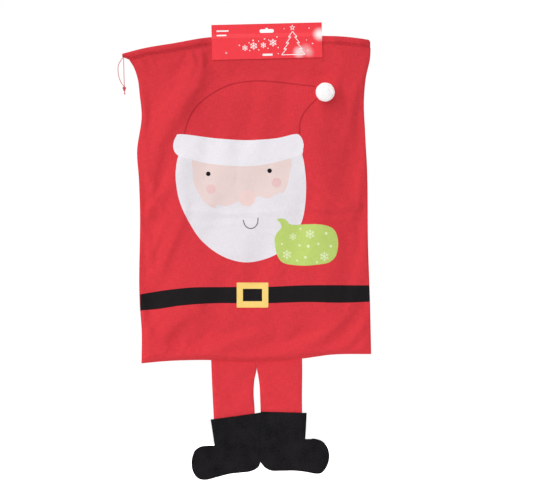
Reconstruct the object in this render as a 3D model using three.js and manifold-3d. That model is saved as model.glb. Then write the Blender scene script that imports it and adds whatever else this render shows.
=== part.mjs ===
// A flat cloth gift sack that hangs from a folded header card. Two printed cloth panels are sewn
// at the sides and the bottom. The mouth is hemmed into two open channels, and one drawstring runs
// round through both and comes out at the upper left corner, where its ends are knotted together.
// Two flat cloth legs with felt boots are sewn into the bottom seam, and a pom-pom is sewn on.
//
// Millimetres. +X is to the viewer's right, -Y is the printed front, +Z is up. The origin is the
// middle of the card's hang slot, from which the whole sack hangs.

import * as THREE from 'three';
import { mergeVertices } from 'three/addons/utils/BufferGeometryUtils.js';
import Module from 'manifold-3d';

const wasm = await Module();
wasm.setup();

// ---- Driving dimensions -----------------------------------------------------------------------

// Sack
const sackWidth = 500; // between the side seams
const sackShift = -25; // the sack's middle lies left of the slot, because it hangs skewed
const bottomDrop = 714; // hang slot to the bottom edge, at the legs
const leftCornerSag = 7; // the lower left corner hangs this far below the legs' edge
const rightCornerLift = 11;
const waistDip = 11; // how far the right side draws in below the mouth
const clothThickness = 1.2;
const frontBulge = 16.4;
const backBulge = 14;
const bulgeMargin = 75; // the panels slope from the seams up to the bulge over this width
const seamDepth = 1.5; // each panel's distance from the middle plane along a seam
const seamAllowance = 8;

// Hem channels round the mouth
const hemHeight = 18.5;
const hemWall = 0.45;
const hemTopDrop = 13; // hang slot to the top of the hem
const mouthHalfGap = 6.5; // each hem's distance from the middle plane where the mouth is open
const openHemHalfDepth = 2.6;
const pinchedHemHalfDepth = 1.6;
const hornReach = 36; // the upper left corner swings out past the side seam
const hornTipHeight = 9;
const leftHemSlope = 10.3; // degrees
const rightHemSlope = 5.2;

// Header card
const cardWidth = 240;
const cardRise = 15.5; // slot to the folded top edge
const cardDrop = 60.5; // slot to the lower edges of both leaves
const cardThickness = 0.5;
const cardTilt = 1.4; // degrees, right side higher
const slotWidth = 31;
const slotHeight = 8;
const slotBumpRadius = 6;
const pinSpacing = 178;
const pinDrop = 46;
const pinShaftRadius = 0.6;
const pinHeadRadius = 2.6;
const pinHeadThickness = 0.7;

// Drawstring
const cordDiameter = 1.5;
const knotWidth = 7.6;
const knotHeight = 11;

// Pom-pom
const pomDiameter = 44;
const pomFlattening = 0.84; // depth as a share of the diameter
const pomX = 126.7;
const pomDrop = 133;

// Legs and boots
const legWidth = 96;
const legGap = 5;
const legsMiddle = -20.5;
const legHalfDepth = 3;
const hipClearance = 2.2; // free space between a leg's round top and the bottom edge
const leftLegLength = 122; // hip axis to ankle axis
const rightLegLength = 111;
const feltThickness = 2.6;
const bootShaftWidth = 98;
const bootShaftHeight = 51;
const bootHeight = 122;
const bootToeReach = 50;
const bootTilt = 4; // degrees, the left boot's toe droops
const bootGap = 1;

const gap = 0.3; // clearance between pieces that touch on the real sack

// ---- Shared helpers ---------------------------------------------------------------------------

const radians = THREE.MathUtils.degToRad;
const lerp = THREE.MathUtils.lerp;
const smooth = THREE.MathUtils.smoothstep;

// One closed body from points and faces, turned so that its faces point out.
function closedBody(points, faces) {
  const triangles = faces.flatMap((f) => (f.length === 3 ? [f] : [[f[0], f[1], f[2]], [f[0], f[2], f[3]]]));
  const volume = triangles.reduce((sum, [a, b, c]) => {
    return sum + points[a].dot(points[b].clone().cross(points[c]));
  }, 0);
  const order = volume > 0 ? triangles : triangles.map(([a, b, c]) => [a, c, b]);
  const geometry = new THREE.BufferGeometry();
  geometry.setAttribute('position', new THREE.Float32BufferAttribute(points.flatMap((p) => p.toArray()), 3));
  geometry.setIndex(order.flat());
  geometry.computeVertexNormals();
  return geometry;
}

const evenly = (from, to, steps) => Array.from({ length: steps + 1 }, (_, k) => lerp(from, to, k / steps));

// A thin body from two surfaces, near(u, v) and far(u, v), over a grid of the given u and v values.
function slab(near, far, us, vs) {
  const columns = us.length - 1;
  const rows = vs.length - 1;
  const points = [];
  for (const surface of [near, far]) {
    for (const v of vs) {
      for (const u of us) points.push(surface(u, v));
    }
  }
  const layer = (columns + 1) * (rows + 1);
  const at = (side, i, j) => side * layer + j * (columns + 1) + i;
  const faces = [];
  for (let j = 0; j < rows; j += 1) {
    for (let i = 0; i < columns; i += 1) {
      faces.push([at(0, i, j), at(0, i + 1, j), at(0, i + 1, j + 1), at(0, i, j + 1)]);
      faces.push([at(1, i, j + 1), at(1, i + 1, j + 1), at(1, i + 1, j), at(1, i, j)]);
    }
  }
  for (let i = 0; i < columns; i += 1) {
    faces.push([at(0, i + 1, 0), at(0, i, 0), at(1, i, 0), at(1, i + 1, 0)]);
    faces.push([at(0, i, rows), at(0, i + 1, rows), at(1, i + 1, rows), at(1, i, rows)]);
  }
  for (let j = 0; j < rows; j += 1) {
    faces.push([at(0, 0, j), at(0, 0, j + 1), at(1, 0, j + 1), at(1, 0, j)]);
    faces.push([at(0, columns, j + 1), at(0, columns, j), at(1, columns, j), at(1, columns, j + 1)]);
  }
  return closedBody(points, faces);
}

// An open-ended channel from elliptical stations { x, y, z, halfDepth, halfHeight }.
function channel(stations, wall, sides) {
  const ring = (s, inset) => Array.from({ length: sides }, (_, k) => {
    const angle = (2 * Math.PI * k) / sides;
    const across = (s.halfDepth - inset) * Math.cos(angle);
    const up = (s.halfHeight - inset) * Math.sin(angle);
    return new THREE.Vector3(s.x, s.y + across, s.z + up);
  });
  const outside = stations.map((s) => ring(s, 0));
  const inside = stations.map((s) => ring(s, wall)).reverse();
  const rings = [...outside, ...inside];
  const faces = [];
  rings.forEach((_, r) => {
    const next = (r + 1) % rings.length;
    for (let k = 0; k < sides; k += 1) {
      const k1 = (k + 1) % sides;
      faces.push([r * sides + k, r * sides + k1, next * sides + k1, next * sides + k]);
    }
  });
  return closedBody(rings.flat(), faces);
}

// A round cord of eight sides along a curve.
function cordAlong(curve, steps) {
  const section = new THREE.Shape();
  for (let k = 0; k < 8; k += 1) {
    const angle = (2 * Math.PI * k) / 8;
    const x = (cordDiameter / 2) * Math.cos(angle);
    const y = (cordDiameter / 2) * Math.sin(angle);
    if (k === 0) section.moveTo(x, y);
    else section.lineTo(x, y);
  }
  section.closePath();
  return new THREE.ExtrudeGeometry(section, { steps, extrudePath: curve, bevelEnabled: false });
}

// A flat plate cut to an upright outline, from y0 to y1.
function uprightPlate(shape, y0, y1, curveSegments = 6) {
  const geometry = new THREE.ExtrudeGeometry(shape, { depth: y1 - y0, bevelEnabled: false, curveSegments });
  return geometry.rotateX(Math.PI / 2).translate(0, y1, 0);
}

// A section drawn in Y and Z, run along X from x0 to x1.
function runAlongX(shape, x0, x1, curveSegments = 6) {
  const geometry = new THREE.ExtrudeGeometry(shape, { depth: x1 - x0, bevelEnabled: false, curveSegments });
  const turn = new THREE.Matrix4().makeBasis(
    new THREE.Vector3(0, 1, 0),
    new THREE.Vector3(0, 0, 1),
    new THREE.Vector3(1, 0, 0),
  );
  return geometry.applyMatrix4(turn).translate(x0, 0, 0);
}

function toManifold(geometry) {
  const bare = geometry.clone();
  bare.deleteAttribute('normal');
  bare.deleteAttribute('uv');
  const merged = mergeVertices(bare);
  return new wasm.Manifold(new wasm.Mesh({
    numProp: 3,
    vertProperties: new Float32Array(merged.getAttribute('position').array),
    triVerts: new Uint32Array(merged.getIndex().array),
  }));
}

// The body with every tool's space cut away.
function cut(geometry, tools) {
  let solid = toManifold(geometry);
  for (const tool of tools) solid = solid.subtract(toManifold(tool));
  const mesh = solid.getMesh();
  const result = new THREE.BufferGeometry();
  result.setAttribute('position', new THREE.BufferAttribute(new Float32Array(mesh.vertProperties), 3));
  result.setIndex(new THREE.BufferAttribute(new Uint32Array(mesh.triVerts), 1));
  result.computeVertexNormals();
  return result;
}

const materials = {
  cloth: { color: 0xd93843, roughness: 0.9 },
  hem: { color: 0xd13c46, roughness: 0.9 },
  card: { color: 0xf7434f, roughness: 0.45 },
  clearPlastic: { color: 0xdfe4e6, roughness: 0.25 },
  cord: { color: 0xc8404a, roughness: 0.8 },
  yarn: { color: 0xfdfdfe, roughness: 1 },
  felt: { color: 0x1d1b1e, roughness: 0.95 },
};

const sack = new THREE.Group();

function add(name, geometry, finish, parent = sack) {
  const material = new THREE.MeshStandardMaterial({ metalness: 0, ...materials[finish] });
  const mesh = new THREE.Mesh(geometry, material);
  mesh.name = name;
  parent.add(mesh);
}

// ---- Outline of the hanging sack --------------------------------------------------------------

const sackLeft = sackShift - sackWidth / 2;
const sackRight = sackShift + sackWidth / 2;
const hornTipX = sackLeft - hornReach;
const cardHalf = cardWidth / 2;
const legsLeft = legsMiddle - legGap / 2 - legWidth;
const legsRight = legsMiddle + legGap / 2 + legWidth;

// Height of the hem's upper edge.
function hemTop(x) {
  const pinched = THREE.MathUtils.clamp(x, -cardHalf, cardHalf);
  const level = -hemTopDrop + pinched * Math.tan(radians(cardTilt));
  if (x < -cardHalf) return level + (x + cardHalf) * Math.tan(radians(leftHemSlope));
  return level - (x - pinched) * Math.tan(radians(rightHemSlope));
}

// Each hem's distance from the middle plane: pinched behind the card, open at both sides of it.
const pinchedGap = gap + pinchedHemHalfDepth;
const pinchedHalf = cardHalf + 8; // the hems stay together a little past the card
const openingRun = 24; // then they part over this length
const openShare = (x) => smooth(Math.abs(x) - pinchedHalf, 0, openingRun);
const mouthDepth = (x) => lerp(pinchedGap, mouthHalfGap, openShare(x));
const hemHalfDepth = (x) => lerp(pinchedHemHalfDepth, openHemHalfDepth, openShare(x));

const hornTaperRun = 26;
const hemHalfHeight = (x) => lerp(hornTipHeight, hemHeight, smooth(x - hornTipX, 0, hornTaperRun)) / 2;

function bottomEdge(x) {
  const leftOfLegs = THREE.MathUtils.clamp((legsLeft - x) / (legsLeft - sackLeft), 0, 1);
  const rightOfLegs = THREE.MathUtils.clamp((x - legsRight) / (sackRight - legsRight), 0, 1);
  return -bottomDrop - leftCornerSag * leftOfLegs + rightCornerLift * rightOfLegs;
}

const hornFoot = -141; // the left side leaves its straight run here
const hornTop = hemTop(hornTipX);
const leftEdge = (z) => sackLeft - hornReach * Math.max(0, (z - hornFoot) / (hornTop - hornFoot)) ** 3;

const waistTop = -50;
const waistFoot = -330;
function rightEdge(z) {
  const along = THREE.MathUtils.clamp((z - waistTop) / (waistFoot - waistTop), 0, 1);
  return sackRight - waistDip * Math.sin(Math.PI * along) ** 2;
}

// A point on the middle of a panel: u runs left to right, v from the hem to the bottom edge.
const pinchedDepth = cardDrop + 8; // behind the card both panels stay flat
const splitDrop = cardDrop + 61;
const cornerInset = 12; // the panels' upper corners stop short of the hem's open tips
const topLeftX = hornTipX + cornerInset;
const panelTop = (x) => hemTop(x) - hemHeight - gap;
function panelPoint(u, v, side, bulge) {
  const rowLeft = leftEdge(lerp(panelTop(topLeftX), bottomEdge(sackLeft), v));
  const rowRight = rightEdge(lerp(panelTop(sackRight), bottomEdge(sackRight), v));
  const x = lerp(rowLeft, rowRight, u);
  const topX = lerp(topLeftX, sackRight, u);
  const z = lerp(panelTop(topX), bottomEdge(lerp(sackLeft, sackRight, u)), v);
  const fromSide = Math.min(x - rowLeft, rowRight - x);
  const fromEnd = Math.min(-pinchedDepth - z, z + bottomDrop);
  const crown = THREE.MathUtils.clamp(Math.min(fromSide, fromEnd) / bulgeMargin, 0, 1);
  const base = lerp(mouthDepth(x), seamDepth, smooth(v, 0, 0.14));
  return new THREE.Vector3(x, side * (base + bulge * crown), z);
}

// ---- Panels and seams -------------------------------------------------------------------------

const pinAt = (side) => new THREE.Vector3(side * (pinSpacing / 2), 0, -pinDrop);
const tiltCard = (geometry) => geometry.rotateY(-radians(cardTilt));
const pinHoleDepth = 40; // through everything behind and in front of the card
const pinHoles = [-1, 1].map((side) => {
  const { x, z } = pinAt(side);
  const hole = new THREE.CylinderGeometry(pinShaftRadius + gap, pinShaftRadius + gap, pinHoleDepth, 12);
  return tiltCard(hole.translate(x, 0, z));
});

// Columns and rows meet the edges of the flat zone behind the card, where the panels start to part.
const atPinch = [-1, 1].map((side) => (side * pinchedHalf - topLeftX) / (sackRight - topLeftX));
const atPinchFoot = (pinchedDepth + panelTop(0)) / (bottomDrop + panelTop(0));
const panelColumns = [
  ...evenly(0, atPinch[0], 7), ...evenly(...atPinch, 7).slice(1), ...evenly(atPinch[1], 1, 5).slice(1),
];
const panelRows = evenly(0, 1, 20);

// Each panel is one piece of cloth, in two solids that meet below the card.
const atSplit = (splitDrop + panelTop(0)) / (bottomDrop + panelTop(0));
const splitGap = gap / (bottomDrop + panelTop(0));
const topRows = [...evenly(0, atPinchFoot, 2), ...evenly(atPinchFoot, atSplit, 2).slice(1)];
const lowRows = evenly(atSplit + splitGap, 1, 19);

function panel(side, bulge, rows) {
  const shifted = (offset) => (u, v) => {
    return panelPoint(u, v, side, bulge).add(new THREE.Vector3(0, offset, 0));
  };
  const near = shifted(-clothThickness / 2);
  const far = shifted(clothThickness / 2);
  return cut(slab(near, far, panelColumns, rows), pinHoles);
}
add('front_panel_top', panel(-1, frontBulge, topRows), 'cloth');
add('front_panel', panel(-1, frontBulge, lowRows), 'cloth');
add('back_panel_top', panel(1, backBulge, topRows), 'cloth');
add('back_panel', panel(1, backBulge, lowRows), 'cloth');

// The folded-in allowance along a side seam fills the space between the two panels' edges.
function sideSeam(fromEdge, toEdge) {
  const face = (side, bulge) => (s, t) => {
    const v = lerp(0.03, 0.975, t);
    const edge = panelPoint(fromEdge, v, side, bulge);
    const inward = Math.sign(toEdge - fromEdge) * seamAllowance * s;
    const depth = Math.abs(edge.y) - clothThickness / 2 - 1.8 * gap;
    return new THREE.Vector3(edge.x + inward, side * depth, edge.z);
  };
  return slab(face(-1, frontBulge), face(1, backBulge), [0, 1], panelRows);
}
add('left_side_seam', sideSeam(0, 1), 'cloth');
add('right_side_seam', sideSeam(1, 0), 'cloth');

const seamHalf = seamDepth - clothThickness / 2 - gap;
const bottomSeamFace = (side) => (s, t) => {
  const x = lerp(sackLeft + 2, sackRight - 2, s);
  return new THREE.Vector3(x, side * seamHalf, bottomEdge(x) + seamAllowance * t + gap);
};
add('bottom_seam', slab(bottomSeamFace(-1), bottomSeamFace(1), evenly(0, 1, 16), [0, 1]), 'cloth');

// ---- Hem channels -----------------------------------------------------------------------------

const hemRightEnd = sackRight - 9;
const hemLeftEnd = hornTipX + 1.5;
function hemStations(side) {
  const xs = [hemLeftEnd, hornTipX + 9, hornTipX + 17, hornTipX + hornTaperRun];
  xs.push(lerp(hornTipX + hornTaperRun, -pinchedHalf - openingRun, 0.5));
  for (const share of [1, 0.7, 0.45, 0.2, 0]) xs.push(-pinchedHalf - share * openingRun);
  xs.push(-cardHalf, 0, cardHalf);
  for (const share of [0, 0.2, 0.45, 0.7, 1]) xs.push(pinchedHalf + share * openingRun);
  xs.push(hemRightEnd);
  return xs.map((x) => ({
    x,
    y: side * mouthDepth(x),
    z: hemTop(x) - hemHalfHeight(x),
    halfDepth: hemHalfDepth(x),
    halfHeight: hemHalfHeight(x),
  }));
}
add('front_hem', channel(hemStations(-1), hemWall, 12), 'hem');
add('back_hem', channel(hemStations(1), hemWall, 12), 'hem');

// ---- Header card ------------------------------------------------------------------------------

// Folded over at the top; flat and closed round the slot, then spread over the pinched hems.
const leafInside = pinchedGap + pinchedHemHalfDepth + gap;
const leafOutside = leafInside + cardThickness;
const tabFoot = -(slotHeight / 2 + 1.5);
const spreadFoot = tabFoot - 6.5;
const halfSection = [
  [leafInside, -cardDrop],
  [leafOutside, -cardDrop],
  [leafOutside, spreadFoot],
  [cardThickness, tabFoot],
  [cardThickness, cardRise],
];
const cardSection = new THREE.Shape([
  ...halfSection.map(([y, z]) => new THREE.Vector2(y, z)),
  ...halfSection.map(([y, z]) => new THREE.Vector2(-y, z)).reverse(),
  new THREE.Vector2(-leafInside, spreadFoot),
  new THREE.Vector2(0, tabFoot),
  new THREE.Vector2(leafInside, spreadFoot),
]);

const slotShape = new THREE.Shape();
const slotStraight = slotWidth / 2 - slotHeight / 2;
slotShape.absarc(slotStraight, 0, slotHeight / 2, -Math.PI / 2, Math.PI / 2);
slotShape.absarc(0, slotHeight / 2, slotBumpRadius / 2, 0, Math.PI);
slotShape.absarc(-slotStraight, 0, slotHeight / 2, Math.PI / 2, 1.5 * Math.PI);
slotShape.closePath();
const slotCut = uprightPlate(slotShape, -2, 2);

const flatCard = runAlongX(cardSection, -cardHalf, cardHalf);
const levelPinHoles = pinHoles.map((hole) => hole.clone().rotateY(radians(cardTilt)));
add('header_card', tiltCard(cut(flatCard, [slotCut, ...levelPinHoles])), 'card');

// A clear pin through both leaves and both panels, with a flat head at each end.
const headStart = leafOutside + gap;
const headEnd = headStart + pinHeadThickness;
const pinProfile = [
  [0, -headEnd], [pinHeadRadius, -headEnd], [pinHeadRadius, -headStart], [pinShaftRadius, -headStart],
  [pinShaftRadius, headStart], [pinHeadRadius, headStart], [pinHeadRadius, headEnd], [0, headEnd],
].map(([radius, y]) => new THREE.Vector2(radius, y));
[['left_card_pin', -1], ['right_card_pin', 1]].forEach(([name, side]) => {
  const { x, z } = pinAt(side);
  add(name, tiltCard(new THREE.LatheGeometry(pinProfile, 12).translate(x, 0, z)), 'clearPlastic');
});

// ---- Drawstring -------------------------------------------------------------------------------

// The exit is the open tip of the left hem; each strand lies straight behind it in its hem.
const exitX = hemLeftEnd;
const exitZ = hemTop(exitX) - hemHalfHeight(exitX);
const innerX = -pinchedHalf - openingRun; // the hems run straight up to here
const innerZ = hemTop(innerX) - hemHalfHeight(innerX);
const strandAlong = new THREE.Vector3(innerX - exitX, 0, innerZ - exitZ).normalize();
const exitPoint = (side) => new THREE.Vector3(exitX, side * mouthHalfGap, exitZ);
const onStrand = (side, distance) => exitPoint(side).addScaledVector(strandAlong, distance);

[['drawstring_front_strand', -1], ['drawstring_back_strand', 1]].forEach(([name, side]) => {
  const inner = onStrand(side, (innerX - exitX) / strandAlong.x);
  add(name, cordAlong(new THREE.LineCurve3(onStrand(side, -1), inner), 1), 'cord');
});

// The rest of the drawstring stays in the hems: behind the card, to the right corner and back.
function hemRun(side) {
  const shares = [0.25, 0.5, 0.75];
  const xs = [innerX + 1.5, ...shares.map((share) => -pinchedHalf - (1 - share) * openingRun)];
  xs.push(-pinchedHalf, -cardHalf, -cardHalf / 2, 0, cardHalf / 2, cardHalf, pinchedHalf);
  xs.push(...shares.map((share) => pinchedHalf + share * openingRun));
  xs.push(pinchedHalf + openingRun, pinchedHalf + 1.6 * openingRun, hemRightEnd);
  return xs.map((x) => new THREE.Vector3(x, side * mouthDepth(x), hemTop(x) - hemHalfHeight(x)));
}
const cornerZ = hemTop(hemRightEnd) - hemHalfHeight(hemRightEnd);
const cornerTurn = [-60, -30, 0, 30, 60].map((angle) => new THREE.Vector3(
  hemRightEnd + 1 + mouthHalfGap * Math.cos(radians(angle)),
  mouthHalfGap * Math.sin(radians(angle)),
  cornerZ,
));
const hemPath = new THREE.CatmullRomCurve3(
  [...hemRun(-1), ...cornerTurn, ...hemRun(1).reverse()], false, 'centripetal',
);
add('drawstring_in_hem', cordAlong(hemPath, 88), 'cord');

// The free loop: one run from each hem down to the knot, and both cut ends below it.
const swingX = exitX - 2.1;
const knotCentre = new THREE.Vector3(exitX + 0.1, 0, exitZ - 70.5);
const loopRuns = { // x and z from the pivot, y as a share of the hem's distance from the middle
  cord_front_run: [[0, -1, 0], [-1.2, -1, -4], [-5.5, -0.93, -10], [-10.5, -0.78, -20],
    [-11.3, -0.62, -32], [-9.5, -0.44, -45], [-5, -0.27, -57], [0.6, -0.18, -64.6]],
  cord_back_run: [[0, 1, 0], [0.1, 0.98, -6], [0.6, 0.89, -16], [0.9, 0.73, -28],
    [1.2, 0.53, -41], [1.7, 0.33, -54], [2.2, 0.2, -64.6]],
};
for (const [name, route] of Object.entries(loopRuns)) {
  const points = route.map(([x, y, z]) => new THREE.Vector3(swingX + x, y * mouthHalfGap, exitZ + z));
  add(name, cordAlong(new THREE.CatmullRomCurve3(points), 24), 'cord');
}
const knot = new THREE.SphereGeometry(knotHeight / 2, 12, 8).rotateX(Math.PI / 2);
knot.scale(knotWidth / knotHeight, knotWidth / knotHeight, 1);
add('cord_knot', knot.translate(knotCentre.x, knotCentre.y, knotCentre.z), 'cord');
const tails = {
  cord_front_tail: [[0.4, -1, -6], [0.9, -1.4, -9], [1.9, -1.8, -13.5]],
  cord_back_tail: [[0.8, 1, -6], [0.2, 1.5, -8.5], [-0.6, 2, -12]],
};
for (const [name, route] of Object.entries(tails)) {
  const points = route.map(([x, y, z]) => new THREE.Vector3(x, y, z).add(knotCentre));
  add(name, cordAlong(new THREE.CatmullRomCurve3(points), 5), 'cord');
}

// ---- Pom-pom ----------------------------------------------------------------------------------

function frontFaceDepth(x, z) {
  const u = (x - leftEdge(z)) / (rightEdge(z) - leftEdge(z));
  const top = panelPoint(u, 0, -1, frontBulge).z;
  const bottom = panelPoint(u, 1, -1, frontBulge).z;
  return panelPoint(u, (z - top) / (bottom - top), -1, frontBulge).y - clothThickness / 2;
}
const pomHalfDepth = (pomDiameter / 2) * pomFlattening;
const pomPlane = Math.min(...[-1, 0, 1].map((k) => frontFaceDepth(pomX, -pomDrop + (k * pomDiameter) / 2)));
const pomPom = new THREE.SphereGeometry(pomDiameter / 2, 20, 12).scale(1, pomFlattening, 1);
add('pom_pom', pomPom.translate(pomX, pomPlane - gap - pomHalfDepth, -pomDrop), 'yarn');

// ---- Legs and boots ---------------------------------------------------------------------------

const hipZ = -bottomDrop - legHalfDepth - hipClearance;
const bootParting = legsMiddle + 7.1; // the boots meet here, and never cross it

// The leg is a flat cloth tube with a round top about the hip and a round foot about the ankle.
function leg(name, x0, length) {
  const section = new THREE.Shape();
  section.absarc(0, hipZ, legHalfDepth, 0, Math.PI);
  section.absarc(0, hipZ - length, legHalfDepth, Math.PI, 2 * Math.PI);
  section.closePath();
  add(name, runAlongX(section, x0, x0 + legWidth), 'cloth');
}

// Boot outline with its ankle's middle at (0, 0) and its toe towards +x. The foot droops by tilt.
function bootOutline(tilt) {
  const half = bootShaftWidth / 2;
  const toe = half + bootToeReach;
  const sole = -bootHeight;
  const instep = -bootShaftHeight;
  const low = (x, z) => [x, z - (x + half) * Math.tan(radians(tilt))];
  const shape = new THREE.Shape();
  shape.moveTo(-half, 0);
  shape.lineTo(...low(-half, sole + 24));
  shape.quadraticCurveTo(...low(-half, sole), ...low(-half + 26, sole));
  shape.quadraticCurveTo(...low(half - 28, sole + 2), ...low(toe - 38, sole - 3));
  shape.quadraticCurveTo(...low(toe, sole + 2), ...low(toe, instep - 36));
  shape.quadraticCurveTo(...low(toe, instep - 4), ...low(toe - 36, instep));
  shape.lineTo(...low(half - 1, instep));
  shape.lineTo(half, 0);
  shape.closePath();
  return shape;
}

// Two felt layers hang below the ankle axis, front and back.
const ankleClearance = 0.8;
function boot(name, ankleZ, toeSide, tilt) {
  const ankleX = bootParting + toeSide * (bootGap / 2 + bootShaftWidth / 2);
  const layers = [['front', -gap - feltThickness, -gap], ['back', gap, gap + feltThickness]];
  for (const [layer, y0, y1] of layers) {
    const plate = uprightPlate(bootOutline(tilt), y0, y1);
    if (toeSide < 0) plate.rotateZ(Math.PI).translate(0, y0 + y1, 0);
    plate.translate(ankleX, 0, ankleZ - legHalfDepth - ankleClearance);
    add(`${name}_${layer}`, plate, 'felt');
  }
}

leg('left_leg', legsLeft, leftLegLength);
leg('right_leg', legsRight - legWidth, rightLegLength);
boot('left_boot', hipZ - leftLegLength, -1, bootTilt);
boot('right_boot', hipZ - rightLegLength, 1, 0);

export default sack;
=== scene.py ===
import math
import random

import bpy
import numpy as np
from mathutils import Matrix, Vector
from mathutils.geometry import delaunay_2d_cdt


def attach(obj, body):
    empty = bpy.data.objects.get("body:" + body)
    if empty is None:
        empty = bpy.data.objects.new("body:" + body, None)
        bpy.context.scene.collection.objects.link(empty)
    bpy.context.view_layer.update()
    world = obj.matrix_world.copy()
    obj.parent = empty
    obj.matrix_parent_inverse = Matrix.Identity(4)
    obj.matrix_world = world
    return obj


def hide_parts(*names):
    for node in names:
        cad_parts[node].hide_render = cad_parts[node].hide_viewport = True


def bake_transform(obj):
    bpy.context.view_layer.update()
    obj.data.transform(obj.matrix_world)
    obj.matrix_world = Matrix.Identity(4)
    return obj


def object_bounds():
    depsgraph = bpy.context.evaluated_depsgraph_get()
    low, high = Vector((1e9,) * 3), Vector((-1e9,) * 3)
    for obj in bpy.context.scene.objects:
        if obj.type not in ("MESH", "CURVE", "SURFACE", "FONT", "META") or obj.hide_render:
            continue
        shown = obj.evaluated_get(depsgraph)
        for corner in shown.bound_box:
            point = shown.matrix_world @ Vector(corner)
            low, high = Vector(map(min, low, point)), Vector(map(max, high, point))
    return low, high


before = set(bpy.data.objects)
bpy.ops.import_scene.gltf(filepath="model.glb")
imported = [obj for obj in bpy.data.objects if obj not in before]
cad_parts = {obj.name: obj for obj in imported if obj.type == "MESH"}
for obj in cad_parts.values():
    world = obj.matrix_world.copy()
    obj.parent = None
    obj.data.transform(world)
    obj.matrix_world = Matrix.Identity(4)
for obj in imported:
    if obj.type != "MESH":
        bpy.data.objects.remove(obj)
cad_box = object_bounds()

MM = 0.001

# ---- View ---------------------------------------------------------------------------------------
# A long lens looks straight at the printed front, level with the middle of the hanging sack.
view_distance = 6.0
view_width = 1.1587
view_centre = Vector((-0.0004, 0, -0.4794))

camera = bpy.data.objects.new("camera", bpy.data.cameras.new("camera"))
bpy.context.collection.objects.link(camera)
camera.location = view_centre + Vector((0, -view_distance, 0))
camera.rotation_euler = (math.pi / 2, 0, 0)
camera.data.sensor_width = 36
camera.data.lens = camera.data.sensor_width * view_distance / view_width
camera.data.clip_end = 40
bpy.context.scene.camera = camera
bpy.context.scene.view_settings.view_transform = "Standard"

# ---- Studio ---------------------------------------------------------------------------------------
# A white room: soft light from all round, a broad key from the upper left, and a pale floor
# just below the boots, which never touch it.


def place_node(tree, kind, inputs=None, **settings):
    """A shader node with its settings, and its inputs set to numbers or linked to other sockets."""
    node = tree.nodes.new(kind)
    for name, value in settings.items():
        setattr(node, name, value)
    for name, value in (inputs or {}).items():
        if isinstance(value, bpy.types.NodeSocket):
            tree.links.new(value, node.inputs[name])
        else:
            node.inputs[name].default_value = value
    return node


world = bpy.data.worlds.new("white room")
world.use_nodes = True
bpy.context.scene.world = world
room = world.node_tree
room.nodes.clear()
seen = place_node(room, "ShaderNodeLightPath").outputs["Is Camera Ray"]
fill = place_node(room, "ShaderNodeBackground", {"Color": (1, 1, 1, 1), "Strength": 0.37})
paper = place_node(room, "ShaderNodeBackground", {"Color": (1, 1, 1, 1), "Strength": 1.0})
mixed = place_node(room, "ShaderNodeMixShader", {0: seen, 1: fill.outputs[0], 2: paper.outputs[0]})
place_node(room, "ShaderNodeOutputWorld", {"Surface": mixed.outputs[0]})


def sun(name, strength, spread, toward):
    lamp = bpy.data.lights.new(name, "SUN")
    lamp.energy = strength
    lamp.angle = math.radians(spread)
    holder = bpy.data.objects.new(name, lamp)
    holder.rotation_euler = Vector(toward).to_track_quat("-Z", "Y").to_euler()
    bpy.context.collection.objects.link(holder)


sun("key", 2.25, 75, (0.60, 0.70, -0.64))
sun("front_fill", 0.22, 60, (-0.35, 0.9, -0.1))
sun("back_light", 1.7, 60, (-0.5, -0.75, -0.5))

floor_drop = 0.03
floor_half = 1.6
floor_z = cad_box[0][2] - floor_drop
floor_mesh = bpy.data.meshes.new("floor")
corners = [(-1, -1), (1, -1), (1, 1), (-1, 1)]
floor_points = [(x * floor_half, y * floor_half, floor_z) for x, y in corners]
floor_mesh.from_pydata(floor_points, [], [(0, 1, 2, 3)])
floor = bpy.data.objects.new("floor", floor_mesh)
bpy.context.collection.objects.link(floor)
floor_paint = bpy.data.materials.new("pale floor")
floor_paint.use_nodes = True
floor_shader = floor_paint.node_tree.nodes["Principled BSDF"]
floor_shader.inputs["Base Color"].default_value = (0.9, 0.9, 0.9, 1)
floor_shader.inputs["Roughness"].default_value = 0.9
floor_shader.inputs["Emission Color"].default_value = (1, 1, 1, 1)
floor_seen = place_node(floor_paint.node_tree, "ShaderNodeLightPath").outputs["Is Camera Ray"]
floor_paint.node_tree.links.new(floor_seen, floor_shader.inputs["Emission Strength"])
floor_mesh.materials.append(floor_paint)


# ---- Sack cloth: cut and drape --------------------------------------------------------------------
# The sack is two pieces of soft plain-weave cloth, sewn at the sides and the bottom. It hangs
# skewed from the card: the upper left corner swings out, and soft folds run down from the pinch.


def smooth_line(*points):
    """A smooth curve through a few points (place, value), as a function of the place."""
    places, values = np.array(points, float).T
    slopes = np.gradient(values, places)

    def value(at):
        at = np.clip(np.asarray(at, float), places[0], places[-1])
        k = np.clip(np.searchsorted(places, at) - 1, 0, len(places) - 2)
        span = places[k + 1] - places[k]
        t = (at - places[k]) / span
        rise = values[k] * (2 * t**3 - 3 * t**2 + 1) + values[k + 1] * (3 * t**2 - 2 * t**3)
        return rise + span * (slopes[k] * (t**3 - 2 * t**2 + t) + slopes[k + 1] * (t**3 - t**2))

    return value


def ease(t):
    t = np.clip(t, 0, 1)
    return t * t * (3 - 2 * t)


def rounding(distance, radius):
    """How far an edge rounded to a radius has risen: 0 at the edge, 1 a radius away."""
    return np.sqrt(np.clip(1 - (1 - np.clip(distance / radius, 0, 1)) ** 2, 0, 1))


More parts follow.
